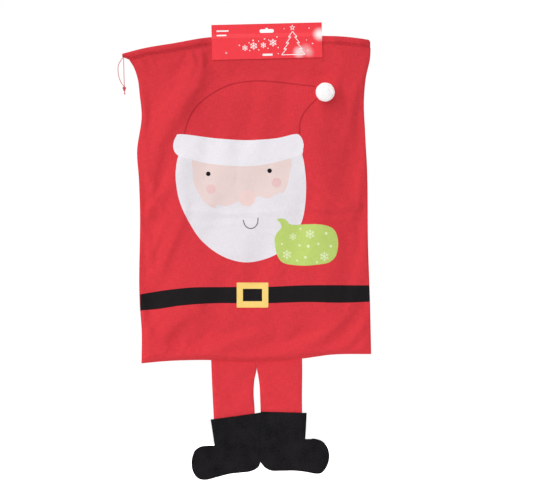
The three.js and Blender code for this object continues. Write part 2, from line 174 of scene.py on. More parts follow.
hem_height = 18.5 * MM
hem_top = smooth_line(
    (-0.316, -0.0505), (-0.27, -0.0385), (-0.2, -0.0265), (-0.127, -0.0140),
    (0, -0.0130), (0.12, -0.0105), (0.17, -0.0128), (0.228, -0.0198),
)
stitch_line = lambda x: hem_top(x) - hem_height
bottom_edge = smooth_line(
    (-0.272, -0.7222), (-0.22, -0.7175), (-0.15, -0.7150), (-0.02, -0.7180),
    (0.078, -0.7118), (0.14, -0.7035), (0.228, -0.7020),
)
left_edge = smooth_line(
    (-0.723, -0.2718), (-0.65, -0.2715), (-0.6, -0.2752), (-0.376, -0.2754), (-0.32, -0.2776),
    (-0.265, -0.2815), (-0.18, -0.2715), (-0.14, -0.2754), (-0.1, -0.2805), (-0.076, -0.2885),
    (-0.0635, -0.2955),
)
right_edge = smooth_line(
    (-0.702, 0.2268), (-0.6, 0.2246), (-0.46, 0.2200), (-0.3, 0.2180), (-0.22, 0.2137),
    (-0.15, 0.2112), (-0.1, 0.2155), (-0.06, 0.2240), (-0.02, 0.2248),
)
hem_left_foot = -0.2955
corner_rise = {"left": float(stitch_line(hem_left_foot)), "right": float(stitch_line(0.2246))}


def spread(u, v):
    """Where cloth point (u, v) hangs, seen from the front: u left to right, v hem to bottom."""
    left = left_edge(corner_rise["left"] + v * (-0.7222 - corner_rise["left"]))
    right = right_edge(corner_rise["right"] + v * (-0.702 - corner_rise["right"]))
    x = left + u * (right - left)
    top = stitch_line(hem_left_foot + u * (0.2246 - hem_left_foot))
    bottom = bottom_edge(-0.2718 + u * (0.2268 + 0.2718))
    return x, top + v * (bottom - top)


cloth_left, cloth_top = -0.275, -0.032
cloth_wide, cloth_tall = 0.5, 0.685


def cloth_place(x, z):
    """The cloth point (u, v) that hangs at (x, z)."""
    u = np.clip((x - cloth_left) / cloth_wide, 0, 1)
    v = np.clip((z - cloth_top) / -cloth_tall, 0, 1)
    for _ in range(25):
        px, pz = spread(u, v)
        u = u + (x - px) / cloth_wide
        v = v - (z - pz) / cloth_tall
    return u, v


def ridge(x, z, path, height, left_width, right_width):
    """A fold along a path of points in millimetres, with its own width on each side."""
    best = np.full(np.shape(x), np.inf)
    value = np.zeros(np.shape(x))
    path = np.array(path, float) * MM
    lengths = np.linalg.norm(np.diff(path, axis=0), axis=1)
    reached = np.concatenate([[0], np.cumsum(lengths)]) / lengths.sum()
    for k, (a, b) in enumerate(zip(path[:-1], path[1:])):
        along = (b - a) / lengths[k]
        t = np.clip(((x - a[0]) * along[0] + (z - a[1]) * along[1]) / lengths[k], 0, 1)
        dx = x - (a[0] + t * (b[0] - a[0]))
        dz = z - (a[1] + t * (b[1] - a[1]))
        away = np.hypot(dx, dz)
        side = dx * along[1] - dz * along[0]
        width = np.where(side > 0, left_width, right_width) * MM
        share = reached[k] + t * (reached[k + 1] - reached[k])
        fade = np.sin(np.pi * np.clip(0.12 + 0.76 * share, 0, 1)) ** 0.7
        bump = fade * np.exp(-((away / width) ** 2))
        closer = away < best
        value = np.where(closer, bump, value)
        best = np.minimum(best, away)
    return height * MM * value


def ripples(x, z, seed, wavelengths, height):
    """Gentle uneven undulation from a few waves that cross at all angles."""
    draw = random.Random(seed)
    total = np.zeros(np.shape(x))
    for wavelength in wavelengths:
        heading = draw.uniform(0, math.pi)
        phase = draw.uniform(0, 2 * math.pi)
        reach = (x * math.cos(heading) + z * math.sin(heading)) / wavelength
        total += np.sin(2 * math.pi * reach + phase)
    return height * total / math.sqrt(len(wavelengths))


front_folds = [
    # the long folds that run down to the left from the card's left end
    ([(-120, -16), (-130, -46), (-139, -76), (-152, -112), (-174, -153), (-212, -203), (-246, -262),
      (-262, -300)], 11.5, 38, 18),
    ([(-124, -34), (-132, -62), (-142, -94), (-152, -124)], 2.6, 20, 9),
    ([(-112, -60), (-122, -92), (-138, -130)], 2.6, 16, 11),
    ([(-262, -82), (-250, -104), (-243, -130)], 3.4, 22, 13),
    ([(-286, -78), (-268, -84), (-232, -84)], 2.2, 9, 16),
    ([(-232, -262), (-243, -305), (-256, -346)], 5.2, 22, 12),
    ([(-196, -296), (-214, -336), (-240, -372), (-268, -398)], 6.6, 12, 22),
    ([(-232, -356), (-250, -382), (-270, -408)], 2.8, 7, 12),
    ([(-206, -392), (-226, -430), (-252, -478), (-266, -500)], 4.0, 20, 10),
    ([(-176, -396), (-196, -440), (-216, -486), (-236, -540)], 5.0, 22, 11),
    ([(-236, -452), (-254, -492), (-268, -520)], 3.0, 14, 8),
    ([(-246, -520), (-262, -544), (-272, -556)], 2.2, 12, 8),
    # below the belt on the left
    ([(-150, -606), (-190, -630), (-230, -668), (-254, -706)], 6.8, 30, 14),
    ([(-228, -610), (-246, -634), (-264, -668)], 3.6, 16, 12),
    ([(-262, -650), (-259, -690), (-257, -716)], 2.2, 8, 6),
    ([(-214, -676), (-224, -700), (-231, -716)], 2.2, 10, 6),
    ([(-172, -668), (-182, -694), (-192, -714)], 2.3, 11, 6.5),
    ([(-112, -676), (-124, -698), (-136, -713)], 2.1, 11, 6.5),
    ([(-50, -684), (-64, -702), (-80, -716)], 1.6, 10, 6.5),
    # the lower right corner
    ([(200, -596), (160, -630), (120, -666), (92, -700)], 7.6, 26, 13),
    ([(224, -628), (190, -662), (160, -696)], 6.4, 18, 11),
    ([(74, -628), (44, -660), (14, -700)], 2.6, 26, 17),
    ([(224, -676), (208, -692), (196, -702)], 2.2, 10, 8),
    # right side and under the card's right end
    ([(128, -62), (138, -86), (148, -112), (156, -146)], 3.4, 15, 10),
    ([(146, -73), (180, -78), (222, -77)], 1.7, 7, 12),
    ([(170, -84), (190, -110), (206, -140)], 2.6, 17, 12),
    ([(160, -150), (182, -205), (198, -258)], 3.8, 20, 14),
    ([(100, -322), (138, -352), (172, -378), (214, -384)], 4.2, 8, 22),
    ([(100, -386), (150, -390), (218, -385)], 3.4, 6, 14),
    ([(150, -410), (190, -406), (218, -414)], 2.2, 5, 8),
    ([(200, -290), (204, -330), (212, -360)], 2.6, 14, 10),
    ([(196, -410), (194, -470), (190, -520)], 2.4, 14, 10),
    ([(96, -196), (108, -240), (116, -300)], 2.4, 20, 14),
    ([(-60, -70), (-30, -92), (20, -96), (70, -74)], 1.5, 12, 16),
    # faint creases across the middle
    ([(-170, -392), (-90, -399), (0, -396), (90, -388)], 1.4, 5, 9),
    ([(-130, -424), (-60, -418), (20, -426)], 1.0, 5, 8),
    ([(-176, -352), (-140, -372), (-96, -380)], 1.1, 5, 8),
]
back_folds = [
    ([(150, -70), (120, -160), (60, -290), (20, -420)], 6.0, 34, 22),
    ([(-130, -66), (-150, -180), (-160, -320)], 5.0, 30, 20),
    ([(200, -250), (120, -420), (60, -560)], 4.2, 30, 20),
    ([(-250, -420), (-170, -560), (-120, -700)], 4.2, 28, 16),
    ([(-60, -380), (-90, -520), (-70, -660)], 3.4, 32, 26),
    ([(210, -560), (150, -640), (120, -706)], 3.8, 22, 14),
]

card_half = 120 * MM
open_depth = 6.5 * MM
pinched_depth = 2.0 * MM


def mouth_depth(x):
    """How far the hems stand from the middle plane: pinched behind the card, open beside it."""
    parted = ease((np.abs(x) - card_half - 5 * MM) / (27 * MM))
    closing = ease((np.asarray(x) - 0.2) / 0.026)
    return (pinched_depth + (open_depth - pinched_depth) * parted) * (1 - 0.75 * closing)


def cloth_depth(x, z, folds, bulge, seed):
    """How far a panel stands from the middle plane at (x, z)."""
    u, v = cloth_place(x, z)
    from_left = x - left_edge(z)
    from_right = right_edge(z) - x
    from_bottom = z - bottom_edge(x)
    from_hem = stitch_line(x) - z
    side = np.clip(np.minimum(from_left, from_right), 0, None)
    rolled = 3.2 * MM * rounding(side, 13 * MM)
    tucked = 2.6 * MM * rounding(from_bottom, 12 * MM)
    body = np.minimum(rolled, tucked) + 0.35 * MM
    away_from_card = np.clip((-0.066 - z) / 0.09, 0, 1)
    crown = ease(side / 0.1) * ease(from_bottom / 0.13) * ease(away_from_card)
    swell = bulge * crown
    beside_card = ease((np.abs(x) - 0.119) / 0.024) * ease(from_hem / 0.014)
    free_of_card = np.maximum(ease((-0.06 - z) / 0.03), beside_card)
    held = ease(side / 0.02) * ease(from_bottom / 0.016) * free_of_card
    fold = sum(ridge(x, z, *one) for one in folds)
    wave = ripples(x, z, seed, (0.16, 0.14, 0.11, 0.09, 0.075, 0.06), 1.3 * MM)
    crumple = ripples(x, z, seed + 1, (0.05, 0.04, 0.034, 0.028, 0.023), 0.30 * MM)
    pucker = 0.5 * MM * np.sin(2 * math.pi * z / (15 * MM) + 3 * np.sin(z / 0.05)) * np.exp(-side / (9 * MM))
    near_hem = np.exp(-np.clip(from_hem, 0, None) / (26 * MM))
    depth = body * (1 - near_hem) + mouth_depth(x) * near_hem
    gathers = np.sin(2 * math.pi * x / (7.5 * MM) + 2 * np.sin(x / 0.03))
    gathered = 0.25 * MM * gathers * np.exp(-from_hem / (7 * MM))
    return depth + swell + held * (fold + wave + crumple) + pucker * ease(side / (4 * MM)) + gathered


def grid_faces(rows, columns, closed):
    """Quads over a grid of points, stored row by row; closed joins each row's last point to its first."""
    faces = []
    for r in range(rows - 1):
        for c in range(columns if closed else columns - 1):
            n = (c + 1) % columns
            faces.append((r * columns + c, r * columns + n, (r + 1) * columns + n, (r + 1) * columns + c))
    return faces


most_settling = 6 * MM


def settled(folds, bulge, seed):
    """How far the cloth moves, on a coarse grid of (u, v), when it is let go to hang for a moment.

    The sheet knows the size it was cut to, and is held along its seams and behind the card.
    """
    columns, rows = 54, 74
    u, v = np.meshgrid(np.linspace(0, 1, columns), np.linspace(0, 1, rows))
    x, z = spread(u, v)
    depth = cloth_depth(x, z, folds, bulge, seed)
    mesh = bpy.data.meshes.new("hanging sheet")
    hung_points = np.stack([x, depth, z], axis=-1).reshape(-1, 3).tolist()
    mesh.from_pydata(hung_points, [], grid_faces(rows, columns, False))
    sheet = bpy.data.objects.new("hanging sheet", mesh)
    bpy.context.collection.objects.link(sheet)
    sheet.shape_key_add(name="hung")
    cut = sheet.shape_key_add(name="cut")
    flat = np.stack([cloth_left + cloth_wide * u, 0 * u, cloth_top - cloth_tall * v], axis=-1)
    cut.data.foreach_set("co", flat.astype(np.float32).ravel())
    from_seams = [u * cloth_wide, (1 - u) * cloth_wide, (1 - v) * cloth_tall, v * cloth_tall]
    nearest_seam = np.minimum.reduce(from_seams)
    behind_card = (np.abs(x) < 0.13) & (z > -0.066)
    sewn = sheet.vertex_groups.new(name="sewn")
    for index in np.flatnonzero(((nearest_seam < 0.006) | behind_card).ravel()):
        sewn.add([int(index)], 1.0, "REPLACE")
    drape = sheet.modifiers.new("drape", "CLOTH")
    drape.settings.rest_shape_key = cut
    drape.settings.vertex_group_mass = "sewn"
    drape.settings.quality = 8
    drape.settings.mass = 0.15
    drape.settings.tension_stiffness = 25
    drape.settings.compression_stiffness = 25
    drape.settings.shear_stiffness = 8
    drape.settings.bending_stiffness = 1.2
    drape.settings.air_damping = 4
    drape.collision_settings.use_collision = False
    frames = 24
    drape.point_cache.frame_end = frames
    for frame_number in range(1, frames + 1):
        bpy.context.scene.frame_set(frame_number)
    hung = sheet.evaluated_get(bpy.context.evaluated_depsgraph_get())
    after = np.empty(rows * columns * 3, np.float32)
    hung.data.vertices.foreach_get("co", after)
    bpy.context.scene.frame_set(1)
    bpy.data.objects.remove(sheet)
    moved = after.reshape(rows, columns, 3)[..., 1] - depth
    return np.clip(moved, -most_settling, most_settling)


def between(grid, u, v):
    """A grid of values over (u, v), read smoothly between its points."""
    rows, columns = grid.shape
    padded = np.pad(grid, 1, mode="edge")
    a, b = np.clip(v, 0, 1) * (rows - 1), np.clip(u, 0, 1) * (columns - 1)
    r, c = np.minimum(a.astype(int), rows - 2), np.minimum(b.astype(int), columns - 2)

    def weights(t):
        return [
            (-t + 2 * t**2 - t**3) / 2, (2 - 5 * t**2 + 3 * t**3) / 2,
            (t + 4 * t**2 - 3 * t**3) / 2, (t**3 - t**2) / 2,
        ]

    total = np.zeros(np.shape(u))
    for j, down in enumerate(weights(a - r)):
        for i, along in enumerate(weights(b - c)):
            total += down * along * padded[np.clip(r + j, 0, rows + 1), np.clip(c + i, 0, columns + 1)]
    return total


panels = {-1: (front_folds, 19 * MM, 5), 1: (back_folds, 16 * MM, 11)}
let_go = {side: settled(*panel) for side, panel in panels.items()}


def panel_depth(x, z, side):
    """How far the front (-1) or back (1) panel stands from the middle plane once it has settled."""
    x, z = np.asarray(x, float), np.asarray(z, float)
    return np.maximum(cloth_depth(x, z, *panels[side]) + between(let_go[side], *cloth_place(x, z)), 0.25 * MM)


def inside(points, outline):
    """Which flat points lie inside a closed outline."""
    x, y = points[:, 0], points[:, 1]
    result = np.zeros(len(points), bool)
    for (ax, ay), (bx, by) in zip(outline, np.roll(outline, -1, axis=0)):
        if ay == by:
            continue
        crosses = (ay > y) != (by > y)
        result ^= crosses & (x < (bx - ax) * (y - ay) / (by - ay) + ax)
    return result


def edge_distance(points, outline):
    least = np.full(len(points), np.inf)
    for a, b in zip(outline, np.roll(outline, -1, axis=0)):
        way = b - a
        t = np.clip(((points - a) @ way) / max(way @ way, 1e-12), 0, 1)
        least = np.minimum(least, np.linalg.norm(points - a - t[:, None] * way, axis=1))
    return least


def cut_flat(outline, regions, spacing, holes=()):
    """Flat cloth cut to an outline and divided along each printed region's outline.

    Returns the points, the triangles, and each triangle's region, 0 where nothing is printed.
    """
    loops = [outline, *[loop for _, loop in regions], *holes]
    low, high = outline.min(axis=0), outline.max(axis=0)
    rows = np.arange(low[1], high[1], spacing * 0.866)
    grid = [
        (x + (spacing / 2 if k % 2 else 0), y)
        for k, y in enumerate(rows) for x in np.arange(low[0], high[0], spacing)
    ]
    grid = np.array(grid)
    grid = grid[inside(grid, outline)]
    for loop in loops:
        grid = grid[edge_distance(grid, loop) >= spacing * 0.42]
    points = [tuple(p) for p in grid]
    edges = []
    for loop in loops:
        first = len(points)
        points += [tuple(p) for p in loop]
        edges += [(first + k, first + (k + 1) % len(loop)) for k in range(len(loop))]
    flat, _, faces, *_ = delaunay_2d_cdt([Vector(p) for p in points], edges, [], 0, 1e-7)
    flat = np.array([tuple(p) for p in flat])
    faces = np.array(faces)
    middle = flat[faces].mean(axis=1)
    kept = inside(middle, outline)
    for hole in holes:
        kept &= ~inside(middle, hole)
    faces, middle = faces[kept], middle[kept]
    region = np.zeros(len(faces), int)
    for number, loop in regions:
        region[inside(middle, loop)] = number
    return flat, faces, region


def sewn_mesh(name, places, faces, flat, materials, region=None):
    """A piece from points in space; flat keeps where each point lay in the uncut cloth."""
    mesh = bpy.data.meshes.new(name)
    mesh.from_pydata([tuple(p) for p in places], [], [tuple(int(k) for k in f) for f in faces])
    lay = mesh.attributes.new("cloth", "FLOAT_VECTOR", "POINT")
    lay.data.foreach_set("vector", np.asarray(flat, np.float32).ravel())
    for material in materials:
        mesh.materials.append(material)
    if region is not None:
        mesh.polygons.foreach_set("material_index", np.asarray(region, np.int32))
    mesh.polygons.foreach_set("use_smooth", np.ones(len(mesh.polygons), bool))
    mesh.update()
    piece = bpy.data.objects.new(name, mesh)
    bpy.context.collection.objects.link(piece)
    return piece


def curve_through(ends, steps=None):
    """Points on a smooth curve, but for its first and last, which only steer it.

    steps is how many points each stretch gets; without it they stand about 1.8 mm apart.
    """
    curve = []
    for p0, p1, p2, p3 in zip(ends[:-3], ends[1:-2], ends[2:-1], ends[3:]):
        count = steps or max(2, int(np.linalg.norm(p2 - p1) / 0.0018))
        for t in np.arange(count) / count:
            a = 2 * p1 + (p2 - p0) * t
            b = (2 * p0 - 5 * p1 + 4 * p2 - p3) * t**2 + (3 * p1 - p0 - 3 * p2 + p3) * t**3
            curve.append((a + b) / 2)
    return curve


def steered(points):
    """The points of an open curve, with one more at each end that carries it straight on."""
    return np.vstack([2 * points[0] - points[1], points, 2 * points[-1] - points[-2]])


def smooth_loop(points, steps=6):
    """A closed smooth outline, in metres, through a few points in millimetres."""
    points = np.array(points, float) * MM
    return np.array(curve_through(np.vstack([points[-1:], points, points[:2]]), steps))


def round_spot(x, z, radius, steps=20):
    angles = np.arange(steps) * 2 * math.pi / steps
    return np.stack([(x + radius * np.cos(angles)) * MM, (z + radius * np.sin(angles)) * MM], axis=1)


def drawn_line(points, width, steps=8):
    """A printed line of even width along a smooth open curve, as a closed outline."""
    points = np.array(points, float) * MM
    curve = np.array(curve_through(steered(points), steps) + [points[-1]])
    way = np.gradient(curve, axis=0)
    across = np.stack([-way[:, 1], way[:, 0]], axis=1) / np.linalg.norm(way, axis=1)[:, None]
    half = across * width * MM / 2
    return np.vstack([curve + half, (curve - half)[::-1]])


# ---- Sack cloth: weave and colour -------------------------------------------------------------------
# Dyed red plain weave with a soft brushed face. The thread thickness varies a little, which
# leaves faint short streaks both ways; the inks are rolled on and take some of the same texture.
def maths(tree, operation, *values, **settings):
    """What a math node makes of numbers or sockets."""
    inputs = dict(enumerate(values))
    return place_node(tree, "ShaderNodeMath", inputs, operation=operation, **settings).outputs[0]


def noise(tree, vector, scale, detail, **inputs):
    inputs = {"Vector": vector, "Scale": scale, "Detail": detail, **inputs}
    return place_node(tree, "ShaderNodeTexNoise", inputs).outputs["Fac"]


weave = bpy.data.node_groups.new("plain weave", "ShaderNodeTree")
for name, value in (("Thread", 0.8), ("Streaks", 0.5)):
    socket = weave.interface.new_socket(name, in_out="INPUT", socket_type="NodeSocketFloat")
    socket.default_value = value
for name in ("Height", "Fleck"):
    weave.interface.new_socket(name, in_out="OUTPUT", socket_type="NodeSocketFloat")
weave_in = weave.nodes.new("NodeGroupInput")
weave_out = weave.nodes.new("NodeGroupOutput")
lay = place_node(weave, "ShaderNodeAttribute", attribute_name="cloth").outputs["Vector"]
per_metre = maths(weave, "DIVIDE", 1000.0, weave_in.outputs["Thread"])
thread_lay = place_node(weave, "ShaderNodeVectorMath", {0: lay, "Scale": per_metre}, operation="SCALE")
threads = place_node(weave, "ShaderNodeSeparateXYZ", {0: thread_lay.outputs[0]}).outputs
over = [maths(weave, "SINE", maths(weave, "MULTIPLY", threads[axis], math.pi)) for axis in ("X", "Z")]
crossing = maths(weave, "MULTIPLY", *over)
fuzz = noise(weave, lay, 900.0, 3.0)
streaks = []
for stretch in ((70, 70, 760), (760, 70, 70)):
    pulled = place_node(weave, "ShaderNodeVectorMath", {0: lay, 1: stretch}, operation="MULTIPLY")
    streaks.append(noise(weave, pulled.outputs[0], 1.0, 2.0))
both = maths(weave, "ADD", *streaks)
strength = maths(weave, "MULTIPLY", maths(weave, "SUBTRACT", both, 1.0), weave_in.outputs["Streaks"])
fleck = maths(weave, "ADD", strength, 0.5, use_clamp=True)
weave.links.new(fleck, weave_out.inputs["Fleck"])
fuzzy = maths(weave, "MULTIPLY_ADD", fuzz, 0.8, crossing)
weave.links.new(maths(weave, "MULTIPLY_ADD", both, 0.6, fuzzy), weave_out.inputs["Height"])


def two_tone(name, dark, light, rough, specular):
    """A material that mixes dark with light, and its node tree, shader and mix."""
    material = bpy.data.materials.new(name)
    material.use_nodes = True
    tree = material.node_tree
    shader = tree.nodes["Principled BSDF"]
    tone = place_node(tree, "ShaderNodeMix", {"A": (*dark, 1), "B": (*light, 1)}, data_type="RGBA")
    tree.links.new(tone.outputs["Result"], shader.inputs["Base Color"])
    shader.inputs["Roughness"].default_value = rough
    shader.inputs["Specular IOR Level"].default_value = specular
    return material, tree, shader, tone


def add_bump(tree, shader, height, strength, distance):
    inputs = {"Height": height, "Strength": strength, "Distance": distance}
    raised = place_node(tree, "ShaderNodeBump", inputs)
    tree.links.new(raised.outputs["Normal"], shader.inputs["Normal"])


def cloth_material(name, dark, light, thread=0.8, streak=1.4, sheen=0.25):
    """Woven cloth, dyed or printed: its colour runs from dark to light with the threads."""
    material, tree, shader, tone = two_tone(name, dark, light, 0.88, 0.25)
    woven = place_node(tree, "ShaderNodeGroup", node_tree=weave)
    woven.inputs["Thread"].default_value = thread
    woven.inputs["Streaks"].default_value = streak
    tree.links.new(woven.outputs["Fleck"], tone.inputs["Factor"])
    add_bump(tree, shader, woven.outputs["Height"], 0.25, 0.0004)
    shader.inputs["Sheen Weight"].default_value = sheen
    shader.inputs["Sheen Roughness"].default_value = 0.5
    shader.inputs["Sheen Tint"].default_value = (1.0, 0.75, 0.75, 1)
    return material


red_cloth = cloth_material("red cloth", (0.60, 0.026, 0.037), (0.76, 0.040, 0.056), sheen=0.10, streak=1.5)
inks = {
    "hat line": cloth_material("dark red ink", (0.44, 0.015, 0.025), (0.54, 0.023, 0.035), sheen=0.1),
    "brim": cloth_material("fur white ink", (0.76, 0.74, 0.79), (0.90, 0.87, 0.92), streak=1.0),
    "beard": cloth_material("soft white ink", (0.71, 0.68, 0.725), (0.84, 0.815, 0.86), streak=1.0),
    "skin": cloth_material("pale skin ink", (0.76, 0.60, 0.58), (0.86, 0.70, 0.67), streak=0.8),
    "blush": cloth_material("blush ink", (0.76, 0.49, 0.50), (0.85, 0.60, 0.59), streak=1.2),
    "nose": cloth_material("nose ink", (0.82, 0.60, 0.57), (0.90, 0.69, 0.66), streak=0.8),
    "dark": cloth_material("black ink", (0.003, 0.002, 0.003), (0.010, 0.007, 0.009), sheen=0.02, streak=1.2),
    "smile": cloth_material("grey ink", (0.10, 0.09, 0.10), (0.15, 0.13, 0.14), sheen=0.1),
    "buckle": cloth_material("yellow ink", (0.88, 0.60, 0.16), (0.98, 0.70, 0.21), streak=0.8),
    "bubble": cloth_material("lime ink", (0.45, 0.58, 0.13), (0.55, 0.71, 0.19), streak=1.0),
    "flake": cloth_material("pale lime ink", (0.66, 0.77, 0.44), (0.77, 0.87, 0.56), streak=1.0),
}
ink_number = {name: k + 1 for k, name in enumerate(inks)}


# ---- Printed front panel ------------------------------------------------------------------------------
# One cloth piece: a bearded face in a hat, a belt with a buckle and a round bubble of snowflakes,
# all printed on it. The folded mouth hem is a continuation of the same cloth.
def snowflake(x, z, radius):
    """Six plain arms with one pair of barbs each, as three crossing bars and six short bars."""
    bars = []
    for k in range(3):
        a = math.radians(60 * k + 90)
        dx, dz = radius * math.cos(a), radius * math.sin(a)
        bars.append(drawn_line([(x - dx, z - dz), (x + dx, z + dz)], radius * 0.17, steps=1))
    for k in range(6):
        a = math.radians(60 * k + 90)
        for turn in (-55, 55):
            b = a + math.radians(turn)
            root = (x + 0.52 * radius * math.cos(a), z + 0.52 * radius * math.sin(a))
            tip = (root[0] + 0.36 * radius * math.cos(b), root[1] + 0.36 * radius * math.sin(b))
            bars.append(drawn_line([root, tip], radius * 0.14, steps=1))
    return bars


beard = smooth_loop([
    (-180, -256), (-192, -274), (-196.5, -298), (-197, -325), (-190, -367), (-171, -411), (-141, -456),
    (-95, -490), (-43, -503), (12, -490), (50, -462), (74, -420), (83, -382), (85.5, -337), (83, -302),
    (77.5, -272), (66, -255), (-60, -275),
])
brim = smooth_loop([
    (-184, -225), (-110, -234), (-43, -238), (20, -234), (60, -225), (73, -229), (80, -247),
    (76, -264), (64, -273), (0, -290), (-61, -294.5), (-130, -288), (-180, -275), (-197, -267),
    (-203, -250), (-197, -231),
])
skin = smooth_loop([
    (-153, -276), (-160, -306), (-158, -330), (-149, -351), (-133, -374), (-112, -386), (-108, -378),
    (-86, -381), (-61, -371), (-40, -366), (-20, -360), (4, -364), (24, -353), (36, -352), (44, -338),
    (48.5, -315), (46, -276), (-56, -288),
])
hat_lines = [
    drawn_line([(-179, -226), (-169, -193), (-153, -166.5), (-131, -146), (-104, -128.5), (-77, -117),
                (-45, -110.8), (-15, -109), (27, -112), (72, -117.5), (106, -121)], 3.4),
    drawn_line([(70.5, -228), (73, -197), (83, -176), (94, -163), (108, -149)], 3.6),
]
belt_top = smooth_line(
    (-275, -572.5), (-224, -564), (-166, -557.6), (-100, -556.5), (3, -556), (71, -553), (226, -553),
)
belt_foot = smooth_line(
    (-275, -607.5), (-247, -605.5), (-185, -596.5), (-143, -593), (3, -591.5), (86, -589), (164, -590.5),
    (226, -588.5),
)
to_right, to_left = np.linspace(-275, 226, 60), np.linspace(226, -275, 60)
belt = np.vstack([
    np.stack([to_right, belt_top(to_right)], axis=1),
    np.stack([to_left, belt_foot(to_left)], axis=1),
]) * MM


def rounded_box(x0, z0, x1, z1, radius, steps=4):
    corner = []
    for cx, cz, start in ((x1 - radius, z1 - radius, 0), (x0 + radius, z1 - radius, 90),
                          (x0 + radius, z0 + radius, 180), (x1 - radius, z0 + radius, 270)):
        for k in range(steps + 1):
            a = math.radians(start + 90 * k / steps)
            corner.append(((cx + radius * math.cos(a)) * MM, (cz + radius * math.sin(a)) * MM))
    return np.array(corner)


bubble = smooth_loop([
    (17, -457), (22, -485), (33, -502), (52, -508), (85, -510), (118, -507), (137, -502), (150, -489),
    (155, -466), (153, -446), (145, -431), (129, -423), (102, -420), (64, -421.5), (50, -420),
    (43.5, -412.5), (34, -407.8), (22.5, -409.5), (29.5, -418), (31.5, -428), (20.5, -442),
])
smile = [(-51, -411), (-47, -422.5), (-38.5, -429), (-28, -428), (-20.5, -419.5), (-18.5, -406)]
bubble_flakes = [(94, -441.5, 10.5), (44, -486, 10.5), (125, -490, 10.5), (57, -447, 8)]
bubble_dots = [
    (129, -440, 3), (90, -468, 3.4), (109, -503, 2.4), (71, -466, 2.6), (112, -463, 2.6), (84, -492, 3),
    (33, -463, 2.4), (139, -468, 2.8), (66, -499, 2.2), (73, -430, 2.2),
]
front_print = [
    *[("hat line", line) for line in hat_lines],
    ("beard", beard), ("skin", skin),
    ("blush", round_spot(-121, -344, 10.5)), ("blush", round_spot(21.5, -330, 10.5)),
    ("brim", brim),
    ("nose", round_spot(-42.2, -364, 17.6, 28)),
    ("dark", round_spot(-126.7, -311, 5)), ("dark", round_spot(6.3, -304.3, 5)),
    ("smile", drawn_line(smile, 2.2)),
    ("dark", belt),
    ("buckle", rounded_box(-65, -601, 3.5, -546.7, 2)),
    ("dark", rounded_box(-51.5, -587.2, -10, -560.3, 1)),
    ("bubble", bubble),
    *[("flake", bar) for spot in bubble_flakes for bar in snowflake(*spot)],
    *[("flake", round_spot(x, z, r, 10)) for x, z, r in bubble_dots],
]

side_steps = np.linspace(0, 1, 150)
across_steps = np.linspace(0, 1, 110)
panel_outline = np.array([
    *[spread(u, 0) for u in across_steps[:-1]],
    *[spread(1, v) for v in side_steps[:-1]],
    *[spread(u, 1) for u in across_steps[::-1][:-1]],
    *[spread(0, v) for v in side_steps[::-1][:-1]],
])


def hung_panel(name, side, printed, spacing):
    """A panel below its hem, cut, printed and hung. side is -1 in front and 1 behind."""
    regions = [(ink_number[ink], loop) for ink, loop in printed]
    flat, faces, region = cut_flat(panel_outline, regions, spacing)
    depth = panel_depth(flat[:, 0], flat[:, 1], side)
    places = np.stack([flat[:, 0], side * depth, flat[:, 1]], axis=1)
    lay = np.stack([flat[:, 0], np.zeros(len(flat)), flat[:, 1]], axis=1)
    return sewn_mesh(name, places, faces, lay, [red_cloth, *inks.values()], region)


front = hung_panel("front_cloth", -1, front_print, 4 * MM)
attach(front, "root")
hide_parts("front_panel", "front_panel_top")
back = hung_panel("back_cloth", 1, [], 6 * MM)
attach(back, "root")
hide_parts("back_panel", "back_panel_top")

# ---- Mouth hem ----------------------------------------------------------------------------------------
# The cloth is turned down over the drawstring and sewn with one row of stitches, which leaves a
# soft channel on each side of the mouth. It narrows to an open tip at the upper left corner.
hem_tip = -0.3135
hem_end = 0.2252
horn_height = 6.5 * MM


def hem_tall(x):
    return horn_height + (hem_height - horn_height) * np.clip((x - hem_tip) / 0.018, 0, 1)


def hem_half_depth(x):
    parted = ease((np.abs(x) - card_half - 5 * MM) / (27 * MM))
    return (1.5 + 2.8 * parted) * MM * (1 - 0.6 * ease((x - 0.2) / 0.025))


def hem_point(x, turn, side):
    """A point on the channel: turn runs from the stitch line up the outer face, over and down inside."""
    up = -np.cos(turn)
    out = np.sin(turn)
    tall = hem_tall(x)
    below = ease((0.25 - up) / 1.25)
    dragged = np.sin(2 * math.pi * (x / 0.013 + 0.55 * up) + 2.2 * np.sin(x / 0.021))
    drag = 0.32 * MM * dragged * (1 - 0.4 * up)
    puckered = np.sin(2 * math.pi * x / (5.2 * MM) + 1.7 * np.sin(x / 0.017))
    pucker = 0.22 * MM * puckered * ease((-up - 0.1) / 0.8)
    rounded = np.sign(out) * np.abs(out) ** 0.6 * hem_half_depth(x) * (1 - 0.78 * below)
    depth = mouth_depth(x) + rounded + (drag * 0.7 + pucker) * np.clip(out, 0, 1)
    squeeze = ease((x - hem_end + 5 * MM) / (5 * MM))
    depth = depth * (1 - 0.75 * squeeze)
    height = hem_top(x) - tall / 2 + up * tall / 2 * (1 - np.where(up > 0, 0.45, 0) * squeeze ** 2)
    return np.stack([x + 0 * up, side * depth, height], axis=-1)


